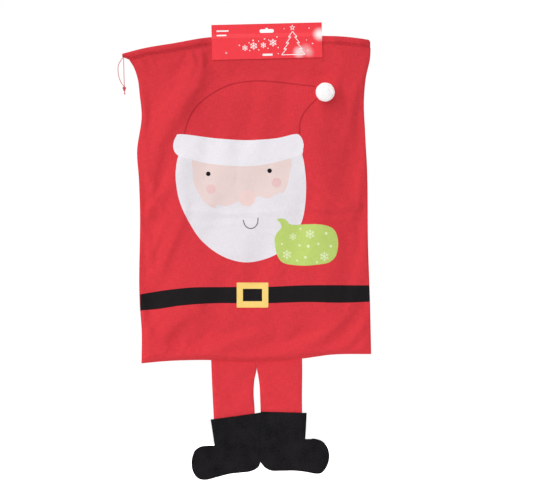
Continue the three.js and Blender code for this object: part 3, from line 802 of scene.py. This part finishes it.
def stitches(name, points, normals, length, thickness, material, body):
    """A row of thread stitches lying on a seam, with a short gap after each."""
    points, normals = np.array(points), np.array(normals)
    reach = np.concatenate([[0], np.cumsum(np.linalg.norm(np.diff(points, axis=0), axis=1))])
    verts, faces, lay = [], [], []
    for start in np.arange(0, reach[-1] - length, length * 1.35):
        at = start + length * np.array([0, 0.12, 0.5, 0.88, 1.0])
        spine = np.stack([np.interp(at, reach, points[:, k]) for k in range(3)], axis=1)
        out = np.array([np.interp(start, reach, normals[:, k]) for k in range(3)])
        along = (spine[-1] - spine[0]) / np.linalg.norm(spine[-1] - spine[0])
        across = np.cross(out, along)
        first = len(verts)
        for centre, size, rise in zip(spine, (0.35, 0.85, 1, 0.85, 0.35), (-0.5, 0.1, 0.4, 0.1, -0.5)):
            for k in range(6):
                a = math.pi * k / 3
                offset = across * math.cos(a) + out * (math.sin(a) + rise)
                verts.append(centre + offset * thickness / 2 * size)
                lay.append((start, 0, k * thickness / 4))
        faces += [tuple(first + i for i in face) for face in grid_faces(5, 6, True)]
        faces += [tuple(first + k for k in range(5, -1, -1)), tuple(first + 24 + k for k in range(6))]
    row = sewn_mesh(name, verts, faces, lay, [material])
    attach(row, body)


# Painted shade: a darker copy of the red cloth for the lower outer face of each channel, where it turns down
# under the roll and lies in shadow.
hem_painted_shade = cloth_material(
    "red cloth with painted shade under the hem roll", (0.52, 0.019, 0.029), (0.66, 0.030, 0.043), sheen=0.10, streak=1.5,
)
thread = cloth_material(
    "red thread", (0.60, 0.03, 0.045), (0.74, 0.06, 0.08), thread=0.2, streak=0.6, sheen=0.5,
)
for name, side, node in (("front_mouth_hem", -1, "front_hem"), ("back_mouth_hem", 1, "back_hem")):
    stations = np.linspace(hem_tip, hem_end, 330)
    turns = np.linspace(0, 2 * math.pi, 31)
    around = np.concatenate([hem_point(x, turns, side) for x in stations])
    flat_lay = [(x, 0, -0.03 - t / (2 * math.pi) * 0.042) for x in stations for t in turns]
    # The faces that get the painted shade: the outer face from just above the stitch line to below the middle
    # of the roll.
    shaded_underside = np.tile((turns[:-1] > 0.1) & (turns[:-1] < 1.2), len(stations) - 1).astype(int)
    strip = grid_faces(len(stations), len(turns), False)
    hem = sewn_mesh(name, around, strip, flat_lay, [red_cloth, hem_painted_shade], shaded_underside)
    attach(hem, "root")
    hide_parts(node)
    seam_xs = np.linspace(hem_tip + 0.006, hem_end - 0.004, 300)
    seam = np.array([hem_point(x, np.array([0.62]), side)[0] for x in seam_xs])
    outward = [(0, side, 0)] * len(seam)
    stitches(name + "_stitches", seam, outward, 2.8 * MM, 0.55 * MM, thread, "root")


# ---- Side and bottom seams ---------------------------------------------------------------------------
# The two panels are sewn inside out and turned, so each edge is a soft roll with a thin groove
# along its middle, where the stitches pull the cloth in.
def rolled_seam(name, line, out_way, node):
    """A rolled edge from the front panel's edge round to the back panel's. line(t) gives (x, z)."""
    ts = np.linspace(0, 1, 320)
    places, lay = [], []
    turns = np.linspace(-1, 1, 11)
    for t in ts:
        x, z = line(t)
        front_depth, back_depth = (float(panel_depth(x, z, side)) for side in (-1, 1))
        for turn in turns:
            depth = turn * (back_depth if turn > 0 else front_depth)
            half = (front_depth + back_depth) / 2
            bulge = (0.5 * half + 0.25 * MM) * math.sqrt(max(0, 1 - turn * turn))
            groove = 0.35 * MM * math.exp(-(turn / 0.22) ** 2) * (0.8 + 0.2 * math.sin(t * 900))
            places.append((x + out_way[0] * (bulge - groove), depth, z + out_way[1] * (bulge - groove)))
            lay.append((x + turn * 2 * MM, 0, z))
    seam = sewn_mesh(name, places, grid_faces(len(ts), len(turns), False), lay, [red_cloth])
    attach(seam, "root")
    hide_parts(node)


rolled_seam("left_side_roll", lambda t: spread(0, t), (-1, 0), "left_side_seam")
rolled_seam("right_side_roll", lambda t: spread(1, t), (1, 0), "right_side_seam")
rolled_seam("bottom_roll", lambda t: spread(t, 1), (0, -1), "bottom_seam")


# ---- Legs ---------------------------------------------------------------------------------------------
# Two flat tubes of the same red cloth, sewn into the sack's bottom seam and pressed flat. Each
# leg's foot is caught between the two felt layers of the boot.
def cloth_leg(name, left_line, right_line, top, foot, seed):
    rows = np.linspace(0, 1, 70)
    turns = np.linspace(0, 2 * math.pi, 73)
    places, lay = [], []
    for t in rows:
        for turn in turns:
            across = 0.5 - 0.5 * math.cos(turn)
            side = -1 if turn < math.pi else 1
            z = top(across) + t * (foot(across) - top(across))
            x0, x1 = float(left_line(z)), float(right_line(z))
            x = x0 + across * (x1 - x0)
            to_edge = min(x - x0, x1 - x)
            to_end = min(z - foot(across), top(across) - z)
            roll = math.sqrt(max(0, 1 - (1 - min(to_edge / (9 * MM), 1)) ** 2))
            thick = 0.25 * MM + 2.6 * MM * roll * float(ease(np.array(to_end / (14 * MM))))
            here = np.array(x), np.array(z)
            wave = float(ripples(*here, seed + (side > 0), (0.09, 0.07, 0.055, 0.045), 1.0 * MM))
            wrinkle = float(ripples(*here, seed + 7, (0.026, 0.02, 0.016), 0.16 * MM))
            topstitch = 0.3 * MM * math.exp(-((to_edge - 7 * MM) / (1.1 * MM)) ** 2)
            thick += (wave + wrinkle - topstitch) * roll * float(ease(np.array(to_end / (20 * MM))))
            places.append((x, side * max(thick, 0.2 * MM), z))
            lay.append((x, 0, z + (0.4 if side > 0 else 0)))
    leg = sewn_mesh(name + "_cloth", places, grid_faces(len(rows), len(turns), False), lay, [red_cloth])
    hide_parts(name)
    middle = (float(left_line(-0.78)) + float(right_line(-0.78))) / 2
    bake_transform(leg)


def seam_above(x0, x1):
    return lambda across: float(bottom_edge(x0 + across * (x1 - x0))) + 1.5 * MM


cloth_leg(
    "left_leg",
    smooth_line((-0.855, -0.1145), (-0.8435, -0.1150), (-0.80, -0.1172), (-0.75, -0.1195), (-0.712, -0.1210)),
    smooth_line((-0.84, -0.0255), (-0.82, -0.0262), (-0.785, -0.0283), (-0.755, -0.0260), (-0.738, -0.02215),
                (-0.72, -0.02161), (-0.712, -0.02161)),
    seam_above(-0.121, -0.02161), lambda across: -0.8495 + 0.0155 * across, 21,
)
cloth_leg(
    "right_leg",
    smooth_line((-0.84, -0.0130), (-0.80, -0.0142), (-0.767, -0.0160), (-0.748, -0.0188), (-0.736, -0.0212),
                (-0.72, -0.02159), (-0.712, -0.02159)),
    smooth_line((-0.84, 0.0773), (-0.79, 0.0768), (-0.75, 0.0774), (-0.708, 0.0772)),
    seam_above(-0.02159, 0.0772), lambda across: -0.8345 - 0.002 * across, 31,
)


# ---- Boots --------------------------------------------------------------------------------------------
# Each boot is two flat layers of thick black wool felt, cut with a round toe and sewn together
# 3 mm inside the edge. The cut edges stay raw and a little furry.
felt, felt_tree, felt_shader, felt_tone = two_tone(
    "black felt", (0.0003, 0.0003, 0.0005), (0.0115, 0.0100, 0.0125), 0.95, 0.15,
)
felt_lay = place_node(felt_tree, "ShaderNodeAttribute", attribute_name="cloth").outputs["Vector"]
matted = noise(felt_tree, felt_lay, 420.0, 5.0, Roughness=0.7)
patchy = noise(felt_tree, felt_lay, 26.0, 3.0)
felt_mask = maths(felt_tree, "MULTIPLY_ADD", patchy, 0.35, maths(felt_tree, "MULTIPLY", matted, 0.65))
felt_range = {"Value": felt_mask, "From Min": 0.4, "From Max": 0.6}
felt_share = place_node(felt_tree, "ShaderNodeMapRange", felt_range)
felt_tree.links.new(felt_share.outputs[0], felt_tone.inputs["Factor"])
add_bump(felt_tree, felt_shader, matted, 0.55, 0.0006)
felt_shader.inputs["Sheen Weight"].default_value = 0.05
felt_shader.inputs["Sheen Roughness"].default_value = 0.6

felt_thick = 2.6 * MM


def spline_outline(corners):
    """An outline in metres from (x, z, sharp) in millimetres: smooth, but for the sharp corners."""
    turned = corners.index(next(c for c in corners if c[2]))
    corners = corners[turned:] + corners[:turned] + [corners[turned]]
    sharp = [k for k, c in enumerate(corners) if c[2]]
    outline = []
    for a, b in zip(sharp[:-1], sharp[1:]):
        points = np.array([c[:2] for c in corners[a:b + 1]], float) * MM
        outline += curve_through(steered(points))
    return np.array(outline)


def felt_boot(name, outline, bend_to, leg_span, seed):
    flat, faces, _ = cut_flat(outline, [], 2.2 * MM)
    inset = edge_distance(flat, outline)
    count = len(flat)
    rim = {}
    for a, b, c in faces:
        for edge in ((a, b), (b, c), (c, a)):
            rim[edge] = rim.get(edge, 0) + 1
    border = [(a, b) for a, b in rim if (b, a) not in rim]
    round_off = 0.9 * MM * (1 - rounding(inset, 1.3 * MM))
    pulled = 0.4 * MM * np.exp(-((inset - 3.4 * MM) / (1.6 * MM)) ** 2)
    uneven = ripples(flat[:, 0], flat[:, 1], seed, (0.05, 0.034, 0.026, 0.02), 0.16 * MM)
    spread_open = 1.1 * MM * ease((flat[:, 1] - bend_to[2]) / 0.014) * ease((flat[:, 0] - leg_span[0]) / 0.006)
    spread_open = spread_open * ease((leg_span[1] - flat[:, 0]) / 0.006)
    for layer, side in (("front", -1), ("back", 1)):
        inner = 0.2 * MM + spread_open * 0.5
        outer = inner + felt_thick - round_off - pulled + uneven
        near = np.stack([flat[:, 0], side * outer, flat[:, 1]], axis=1)
        far = np.stack([flat[:, 0], side * (inner + round_off * 0.6), flat[:, 1]], axis=1)
        skin = [tuple(f) for f in faces] + [tuple(count + k for k in f[::-1]) for f in faces]
        skin += [(b, a, count + a, count + b) for a, b in border]
        shell = np.vstack([near, far])
        piece = sewn_mesh(f"{name}_{layer}_felt", shell, skin, shell, [felt])
        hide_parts(f"{name}_{layer}")
        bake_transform(piece)


left_boot = spline_outline([
    (-122, -844.5, 1), (-74, -838.2, 0), (-13.3, -829.4, 1), (-13.3, -880, 0), (-13.3, -925, 0),
    (-13.3, -937.6, 1), (-19, -949, 0), (-35.4, -957.5, 0), (-60, -960.5, 0), (-82, -963.2, 0),
    (-110, -970.5, 0), (-132, -975.8, 0), (-149, -972.5, 0), (-160.5, -957, 0), (-163.4, -936, 0),
    (-158, -915, 0), (-147, -905, 0), (-133, -901.6, 0), (-113.5, -901.3, 1), (-117.5, -873, 0),
])
right_boot = spline_outline([
    (-13.3, -827.6, 1), (35, -828.6, 0), (87, -830.2, 1), (85.8, -858, 0), (84, -887, 1), (94, -887, 0),
    (104.4, -886.3, 0), (121, -892, 0), (132.5, -906, 0), (136.3, -925, 0), (132, -944, 0),
    (121, -959.5, 0), (107.6, -962.6, 0), (84, -958.5, 0), (60, -956, 0), (30, -956.3, 0),
    (11, -955.9, 0), (-3.3, -949.4, 0), (-13.3, -937.9, 1), (-13.3, -880, 0),
])
felt_boot("left_boot", left_boot, (-0.0675, 0, -0.8600), (-0.1175, -0.022), 41)
felt_boot("right_boot", right_boot, (0.0370, 0, -0.8490), (-0.014, 0.079), 51)


# ---- Drawstring ---------------------------------------------------------------------------------------
# A thin twisted cotton cord runs round through both hems. Its two ends leave the open tips at the
# upper left, hang in a loop, are tied together in one overhand knot and end cut just below it.
cord_thick = 1.5 * MM
cord_cotton = cloth_material(
    "cord cotton", (0.50, 0.03, 0.045), (0.86, 0.16, 0.19), thread=0.25, streak=1.0, sheen=0.5,
)


def through(points, spacing=0.5 * MM):
    """Evenly spaced points on a smooth curve through a few points in metres."""
    points = np.array(points, float)
    fine = np.array(curve_through(steered(points), 24) + [points[-1]])
    reach = np.concatenate([[0], np.cumsum(np.linalg.norm(np.diff(fine, axis=0), axis=1))])
    steps = max(2, int(round(reach[-1] / spacing)))
    at = np.linspace(0, reach[-1], steps + 1)
    even = np.stack([np.interp(at, reach, fine[:, k]) for k in range(3)], axis=1)
    return even, float(reach[-1])


def twisted_cord(name, line, thick, closed=False, pitch=4.2 * MM, sides=12):
    """Three plies twisted together along a line of points."""
    line = np.array(line)
    way = np.gradient(line, axis=0)
    if closed:
        way[0] = way[-1] = line[1] - line[-2]
    way /= np.linalg.norm(way, axis=1)[:, None]
    across = np.cross(way[0], (0.3, 0.9, 0.31))
    across /= np.linalg.norm(across)
    reach = np.concatenate([[0], np.cumsum(np.linalg.norm(np.diff(line, axis=0), axis=1))])
    places, lay = [], []
    for point, along, s in zip(line, way, reach):
        across = across - along * (across @ along)
        across /= np.linalg.norm(across)
        other = np.cross(along, across)
        for k in range(sides):
            a = 2 * math.pi * k / sides
            ply = 0.5 * (1 + math.cos(3 * (a - 2 * math.pi * s / pitch / 3)))
            radius = thick / 2 * (0.80 + 0.24 * ply ** 0.5)
            places.append(point + radius * (across * math.cos(a) + other * math.sin(a)))
            lay.append((s, 0, a / (2 * math.pi) * thick * 3))
    faces = grid_faces(len(line), sides, True)
    last = (len(line) - 1) * sides
    if not closed:
        faces += [tuple(range(sides - 1, -1, -1)), tuple(last + k for k in range(sides))]
    cord = sewn_mesh(name, places, faces, lay, [cord_cotton])
    return cord


exit_z = -0.05492
swing = np.array([-0.3116, 0, exit_z])
exit_half = 6.5
knot_at = np.array([-0.3094, 0, -0.1254])
front_run = [
    (2.1, -1, 0), (0, -1, -0.6), (-1.2, -1, -4), (-5.5, -0.93, -10), (-10.5, -0.78, -20),
    (-11.3, -0.62, -32), (-9.5, -0.44, -45), (-5, -0.27, -57), (0.6, -0.18, -64.6),
]
back_run = [
    (2.1, 1, 0), (0.4, 1, -0.9), (0.1, 0.98, -6), (0.6, 0.89, -16), (0.9, 0.73, -28),
    (1.2, 0.53, -41), (1.7, 0.33, -54), (2.2, 0.2, -64.6),
]
front_tail = [(0.2, -0.3, 0), (0.4, -1, -6), (0.9, -1.4, -9), (1.9, -1.8, -13.5)]
back_tail = [(0.4, 0.4, 0), (0.8, 1, -6), (0.2, 1.5, -8.5), (-0.6, 2, -12)]

trefoil = []
for t in np.linspace(0, 2 * math.pi, 150):
    wide = math.sin(t) + 2 * math.sin(2 * t)
    tall = 1.35 * (math.cos(t) - 2 * math.cos(2 * t))
    trefoil.append((wide, -1.5 * math.sin(3 * t), tall))
trefoil = knot_at + np.array(trefoil) * MM
knot = twisted_cord("loop_knot", trefoil, 2.6 * MM, closed=True)
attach(knot, "cord_loop")
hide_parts("cord_knot")

for name, run, tail, nodes in (
    ("front_loop_cord", front_run, front_tail, ("cord_front_run", "cord_front_tail")),
    ("back_loop_cord", back_run, back_tail, ("cord_back_run", "cord_back_tail")),
):
    line = [swing + np.array((x, y * exit_half, z)) * MM for x, y, z in run]
    line += [knot_at + np.array(p) * MM for p in tail]
    line, length = through(line)
    loop_cord = twisted_cord(name, line, cord_thick)
    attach(loop_cord, "cord_loop")
    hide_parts(*nodes)

hem_middle = lambda x: float(hem_top(x)) - float(hem_tall(x)) / 2
strand_near, strand_far = -0.3100, -0.152
strand_slope = 0.15014 / 0.98866
for name, side, node in (
    ("front_hem_strand", -1, "drawstring_front_strand"),
    ("back_hem_strand", 1, "drawstring_back_strand"),
):
    start = np.array((strand_near, side * exit_half * MM, exit_z))
    stop = np.array((strand_far, side * exit_half * MM, exit_z + strand_slope * (strand_far + 0.3095)))
    line, _ = through([start, (start + stop) / 2, stop])
    strand = twisted_cord(name, line, cord_thick)
    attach(strand, "drawstring")
    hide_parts(node)

inner_xs = [-0.150, -0.145, -0.13, -0.1, -0.05, 0, 0.05, 0.1, 0.13, 0.15, 0.175, 0.2, 0.212, 0.219]
there = [(x, -float(mouth_depth(np.array(x))), hem_middle(x)) for x in inner_xs]
return_way = [(x, float(mouth_depth(np.array(x))), hem_middle(x)) for x in inner_xs[::-1]]
line, _ = through(there + [(0.2212, 0, hem_middle(0.221))] + return_way, 0.9 * MM)
inner_cord = twisted_cord("cord_inside_hem", line, cord_thick, sides=8)
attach(inner_cord, "root")
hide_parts("drawstring_in_hem")


# ---- Header card --------------------------------------------------------------------------------------
# A glossy printed card folded at its top edge over the pinched hems, punched with a hang slot
# above them and held by two clear pins. The printing is plain: a tree, snowflakes and soft lights.
card_thick = 0.4 * MM
card_tilt = math.radians(1.4)
card_top, card_foot = 15.5, -60.5
leaf_out = 4.3
fold_rise = 0.35


def card_print(name, dark, light, glows=()):
    """Ink on glossy card; glows are soft white spots of (x, z, radius, strength)."""
    material, tree, shader, tone = two_tone(name, dark, light, 0.32, 0.35)
    lay = place_node(tree, "ShaderNodeAttribute", attribute_name="cloth").outputs["Vector"]
    grain = noise(tree, lay, 1500.0, 2.0)
    cloudy = noise(tree, lay, 14.0, 2.0)
    share = maths(tree, "MULTIPLY", maths(tree, "ADD", grain, cloudy), 0.5)
    tree.links.new(share, tone.inputs["Factor"])
    colour = tone.outputs["Result"]
    for x, z, radius, strength in glows:
        inputs = {0: lay, 1: (x * MM, -1, z * MM)}
        away = place_node(tree, "ShaderNodeVectorMath", inputs, operation="DISTANCE").outputs["Value"]
        falloff = {
            "Value": away, "From Min": 0.1 * radius * MM, "From Max": radius * MM,
            "To Min": strength, "To Max": 0.0,
        }
        near = place_node(tree, "ShaderNodeMapRange", falloff, interpolation_type="SMOOTHSTEP")
        mix = {"Factor": near.outputs[0], "A": colour, "B": (0.97, 0.92, 0.92, 1)}
        colour = place_node(tree, "ShaderNodeMix", mix, data_type="RGBA").outputs["Result"]
    tree.links.new(colour, shader.inputs["Base Color"])
    add_bump(tree, shader, grain, 0.05, 0.0002)
    return material


soft_lights = ((115, -10, 19, 0.95), (69, -48, 17, 0.75), (84, -43, 18, 0.30), (92, -50, 14, 0.22))
card_inks = [
    card_print("card red", (0.86, 0.030, 0.045), (0.97, 0.046, 0.068), glows=soft_lights),
    card_print("card white", (0.90, 0.88, 0.88), (0.97, 0.95, 0.95)),
]


def leaf_depth(z):
    """Each leaf lies flat above the hems and spreads over them below the slot."""
    return (0.5 + (leaf_out - 0.5) * ease((-5.0 * MM - z) / (8.5 * MM))) * MM


def star(x, z, radius, points=5, ratio=0.45):
    corners = []
    for k in range(points * 2):
        a = math.pi / 2 + math.pi * k / points
        r = radius * (ratio if k % 2 else 1)
        corners.append(((x + r * math.cos(a)) * MM, (z + r * math.sin(a)) * MM))
    return np.array(corners)


def punched_slot():
    angles = np.radians(np.linspace(-90, 90, 13))
    right = [(11.5 + 4 * math.cos(a), 4 * math.sin(a)) for a in angles]
    bump = [(3 * math.cos(a), 4 + 3 * math.sin(a)) for a in np.radians(np.linspace(0, 180, 13))]
    left = [(-11.5 - 4 * math.cos(a), -4 * math.sin(a)) for a in angles]
    return np.array(right + bump + left) * MM


def card_leaf(side, printed):
    low, high = card_foot, card_top - fold_rise
    outline = []
    corners = [(-120, low), (120, low), (120, high), (-120, high)]
    for (ax, az), (bx, bz) in zip(corners, corners[1:] + corners[:1]):
        steps = int(max(abs(bx - ax), abs(bz - az)) / 4)
        outline += [(ax + (bx - ax) * k / steps, az + (bz - az) * k / steps) for k in range(steps)]
    outline = np.array(outline) * MM
    flat, faces, region = cut_flat(outline, printed, 3 * MM, holes=[punched_slot()])
    depth = leaf_depth(flat[:, 1])
    bow = 0.25 * MM * np.sin(flat[:, 0] / 0.034 + 0.6) * ease((-0.045 - flat[:, 1]) / 0.015)
    places = np.stack([flat[:, 0], side * (depth + np.clip(bow, 0, None)), flat[:, 1]], axis=1)
    lay = np.stack([flat[:, 0], side + 0 * depth, flat[:, 1]], axis=1)
    return places, faces if side < 0 else faces[:, ::-1], region, lay


fir = [
    (56, -2.5), (47, -15), (52, -14.5), (41.5, -28), (47.5, -27), (36, -41), (42.5, -40), (31, -53),
    (82, -53), (70, -40), (76.5, -41), (65, -27), (71, -28), (60.5, -14.5), (65.5, -15), (56, -2.5),
]
card_flakes = [(-48, -36, 6.5), (-29, -32, 8.5), (-8, -31, 6.5), (13, -26, 8.5)]
dots_between = [(-38, -42), (-39, -25), (-18, -22), (-18, -41), (2, -38), (4, -20), (24, -37)]
card_stars = [(-30, -20, 2.6), (-5, -17.5, 2.4), (22, -14, 2.2), (-60, -30, 2.2)]
card_dots = [(92, 4, 1.2), (99, -30, 1.4), (24, -50, 1.1), (86, -22, 1.0), (38, 4, 1.0)]
front_card_print = [
    *[(1, drawn_line([a, b], 1.5, steps=1)) for a, b in zip(fir[:-1], fir[1:])],
    (1, star(56, 6, 6.6)), (0, star(56, 6, 3.4)),
    *[(1, bar) for spot in card_flakes for bar in snowflake(*spot)],
    *[(1, round_spot(x, z, 1.3, 8)) for x, z in dots_between],
    *[(1, star(x, z, r)) for x, z, r in card_stars],
    *[(1, drawn_line([(-109, z), (-109 + w, z)], 3.2, steps=1)) for z, w in ((2, 26), (-7.5, 21))],
    (1, drawn_line([(-10, -52), (11.5, -52)], 4.6, steps=1)),
    *[(1, round_spot(x, z, r, 8)) for x, z, r in card_dots],
]
back_card_print = [(1, rounded_box(-20, -54, 34, -26, 1.5))]

leaf_sets = [card_leaf(-1, front_card_print), card_leaf(1, back_card_print)]
places = np.vstack([leaf[0] for leaf in leaf_sets])
first_count = len(leaf_sets[0][0])
faces = [tuple(f) for f in leaf_sets[0][1]]
faces += [tuple(first_count + k for k in f) for f in leaf_sets[1][1]]
region = np.concatenate([leaf[2] for leaf in leaf_sets])
lay = np.vstack([leaf[3] for leaf in leaf_sets])
fold_xs = np.linspace(-0.12, 0.12, 61)
fold_turns = np.linspace(-math.pi / 2, math.pi / 2, 7)
first = len(places)
fold = [
    (x, 0.5 * MM * math.sin(a), (card_top - fold_rise + fold_rise * math.cos(a)) * MM)
    for x in fold_xs for a in fold_turns
]
places = np.vstack([places, fold])
lay = np.vstack([lay, fold])
fold_faces = [tuple(first + k for k in f) for f in grid_faces(len(fold_xs), len(fold_turns), False)]
faces += fold_faces
region = np.concatenate([region, np.zeros(len(fold_faces), int)])
turned = places.copy()
turned[:, 0] = places[:, 0] * math.cos(card_tilt) - places[:, 2] * math.sin(card_tilt)
turned[:, 2] = places[:, 0] * math.sin(card_tilt) + places[:, 2] * math.cos(card_tilt)
card = sewn_mesh("folded_card", turned, faces, lay, card_inks, region)
card.data.polygons.foreach_set("use_smooth", np.zeros(len(card.data.polygons), bool))
stiff = card.modifiers.new("card thickness", "SOLIDIFY")
stiff.thickness = card_thick
stiff.offset = -1
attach(card, "root")
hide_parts("header_card")

clear = bpy.data.materials.new("clear plastic")
clear.use_nodes = True
clear_shader = clear.node_tree.nodes["Principled BSDF"]
clear_shader.inputs["Base Color"].default_value = (0.97, 0.97, 0.97, 1)
clear_shader.inputs["Alpha"].default_value = 0.22
clear_shader.inputs["IOR"].default_value = 1.46
moulded = place_node(clear.node_tree, "ShaderNodeTexNoise", {"Scale": 300.0, "Detail": 2.0})
rough_range = {"Value": moulded.outputs["Fac"], "To Min": 0.25, "To Max": 0.45}
rough_map = place_node(clear.node_tree, "ShaderNodeMapRange", rough_range)
clear.node_tree.links.new(rough_map.outputs[0], clear_shader.inputs["Roughness"])
for name in ("left_card_pin", "right_card_pin"):
    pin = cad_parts[name]
    pin.data.materials.clear()
    pin.data.materials.append(clear)


# ---- Pom-pom ------------------------------------------------------------------------------------------
# A ball of trimmed white yarn, sewn on at the tip of the hat. Some 2600 soft yarn ends stand out
# from the tied middle and are clipped to a round shape, a little flattened towards the cloth.
yarn = cloth_material("white yarn", (0.95, 0.95, 0.95), (0.99, 0.99, 0.99), thread=0.3, streak=0.5, sheen=0.35)
yarn_shader = yarn.node_tree.nodes["Principled BSDF"]
yarn_shader.inputs["Subsurface Weight"].default_value = 0.6
yarn_shader.inputs["Subsurface Radius"].default_value = (1, 1, 1)
yarn_shader.inputs["Subsurface Scale"].default_value = 0.006
# Painted light: the yarn glows a little, standing in for light that passes through the loose yarn ends.
yarn_shader.inputs["Emission Color"].default_value = (1, 1, 1, 1)
yarn_shader.inputs["Emission Strength"].default_value = 0.18
pom_radius = 20.2 * MM
pom_flat = 0.84
pom_x, pom_z = 0.1267, -0.1345
around_tip = np.array([-8, 0, 8]) * MM
cloth_there = float(np.max(panel_depth(pom_x + around_tip, pom_z + around_tip, -1)))
pom_centre = np.array((pom_x, -(cloth_there + pom_radius * pom_flat * 0.96), pom_z))
draw = random.Random(77)
places, faces, lay = [], [], []
core_rows, core_turns = 14, 24
for r in range(core_rows):
    for c in range(core_turns):
        a, b = math.pi * (r + 0.5) / core_rows, 2 * math.pi * c / core_turns
        way = np.array((math.sin(a) * math.cos(b), math.sin(a) * math.sin(b) * pom_flat, math.cos(a)))
        places.append(pom_centre + way * pom_radius * 0.86)
        lay.append(way * 0.02)
faces += grid_faces(core_rows, core_turns, True)
last_row = (core_rows - 1) * core_turns
faces += [tuple(range(core_turns)), tuple(last_row + k for k in range(core_turns - 1, -1, -1))]
yarn_ends = 2600
for k in range(yarn_ends):
    height = 1 - 2 * (k + 0.5) / yarn_ends
    around = math.pi * (1 + 5 ** 0.5) * k
    flat_r = math.sqrt(1 - height * height)
    way = np.array((flat_r * math.cos(around), flat_r * math.sin(around), height))
    way += np.array([draw.gauss(0, 0.035) for _ in range(3)])
    way /= np.linalg.norm(way)
    lean = np.array([draw.gauss(0, 0.09) for _ in range(3)])
    lean -= way * (lean @ way)
    clip = pom_radius * draw.gauss(1.0, 0.013)
    side_a = np.cross(way, (0.2, 0.5, 0.84))
    side_a /= np.linalg.norm(side_a)
    side_b = np.cross(way, side_a)
    first = len(places)
    for share, wide in ((0.7, 0.55), (0.88, 0.75), (0.975, 0.85), (1.0, 0.45)):
        centre = way * share + lean * (share - 0.7) ** 2 * 6
        for q in range(5):
            a = 2 * math.pi * q / 5 + share * 5
            point = centre * clip + (side_a * math.cos(a) + side_b * math.sin(a)) * wide * MM
            places.append(pom_centre + point * (1, pom_flat, 1))
            lay.append((k * 0.003, 0, share * 0.02 + q * 0.0005))
    faces += [tuple(first + i for i in face) for face in grid_faces(4, 5, True)]
    faces.append(tuple(first + 15 + q for q in range(5)))
pom = sewn_mesh("yarn_pom_pom", places, faces, lay, [yarn])
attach(pom, "root")
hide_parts("pom_pom")
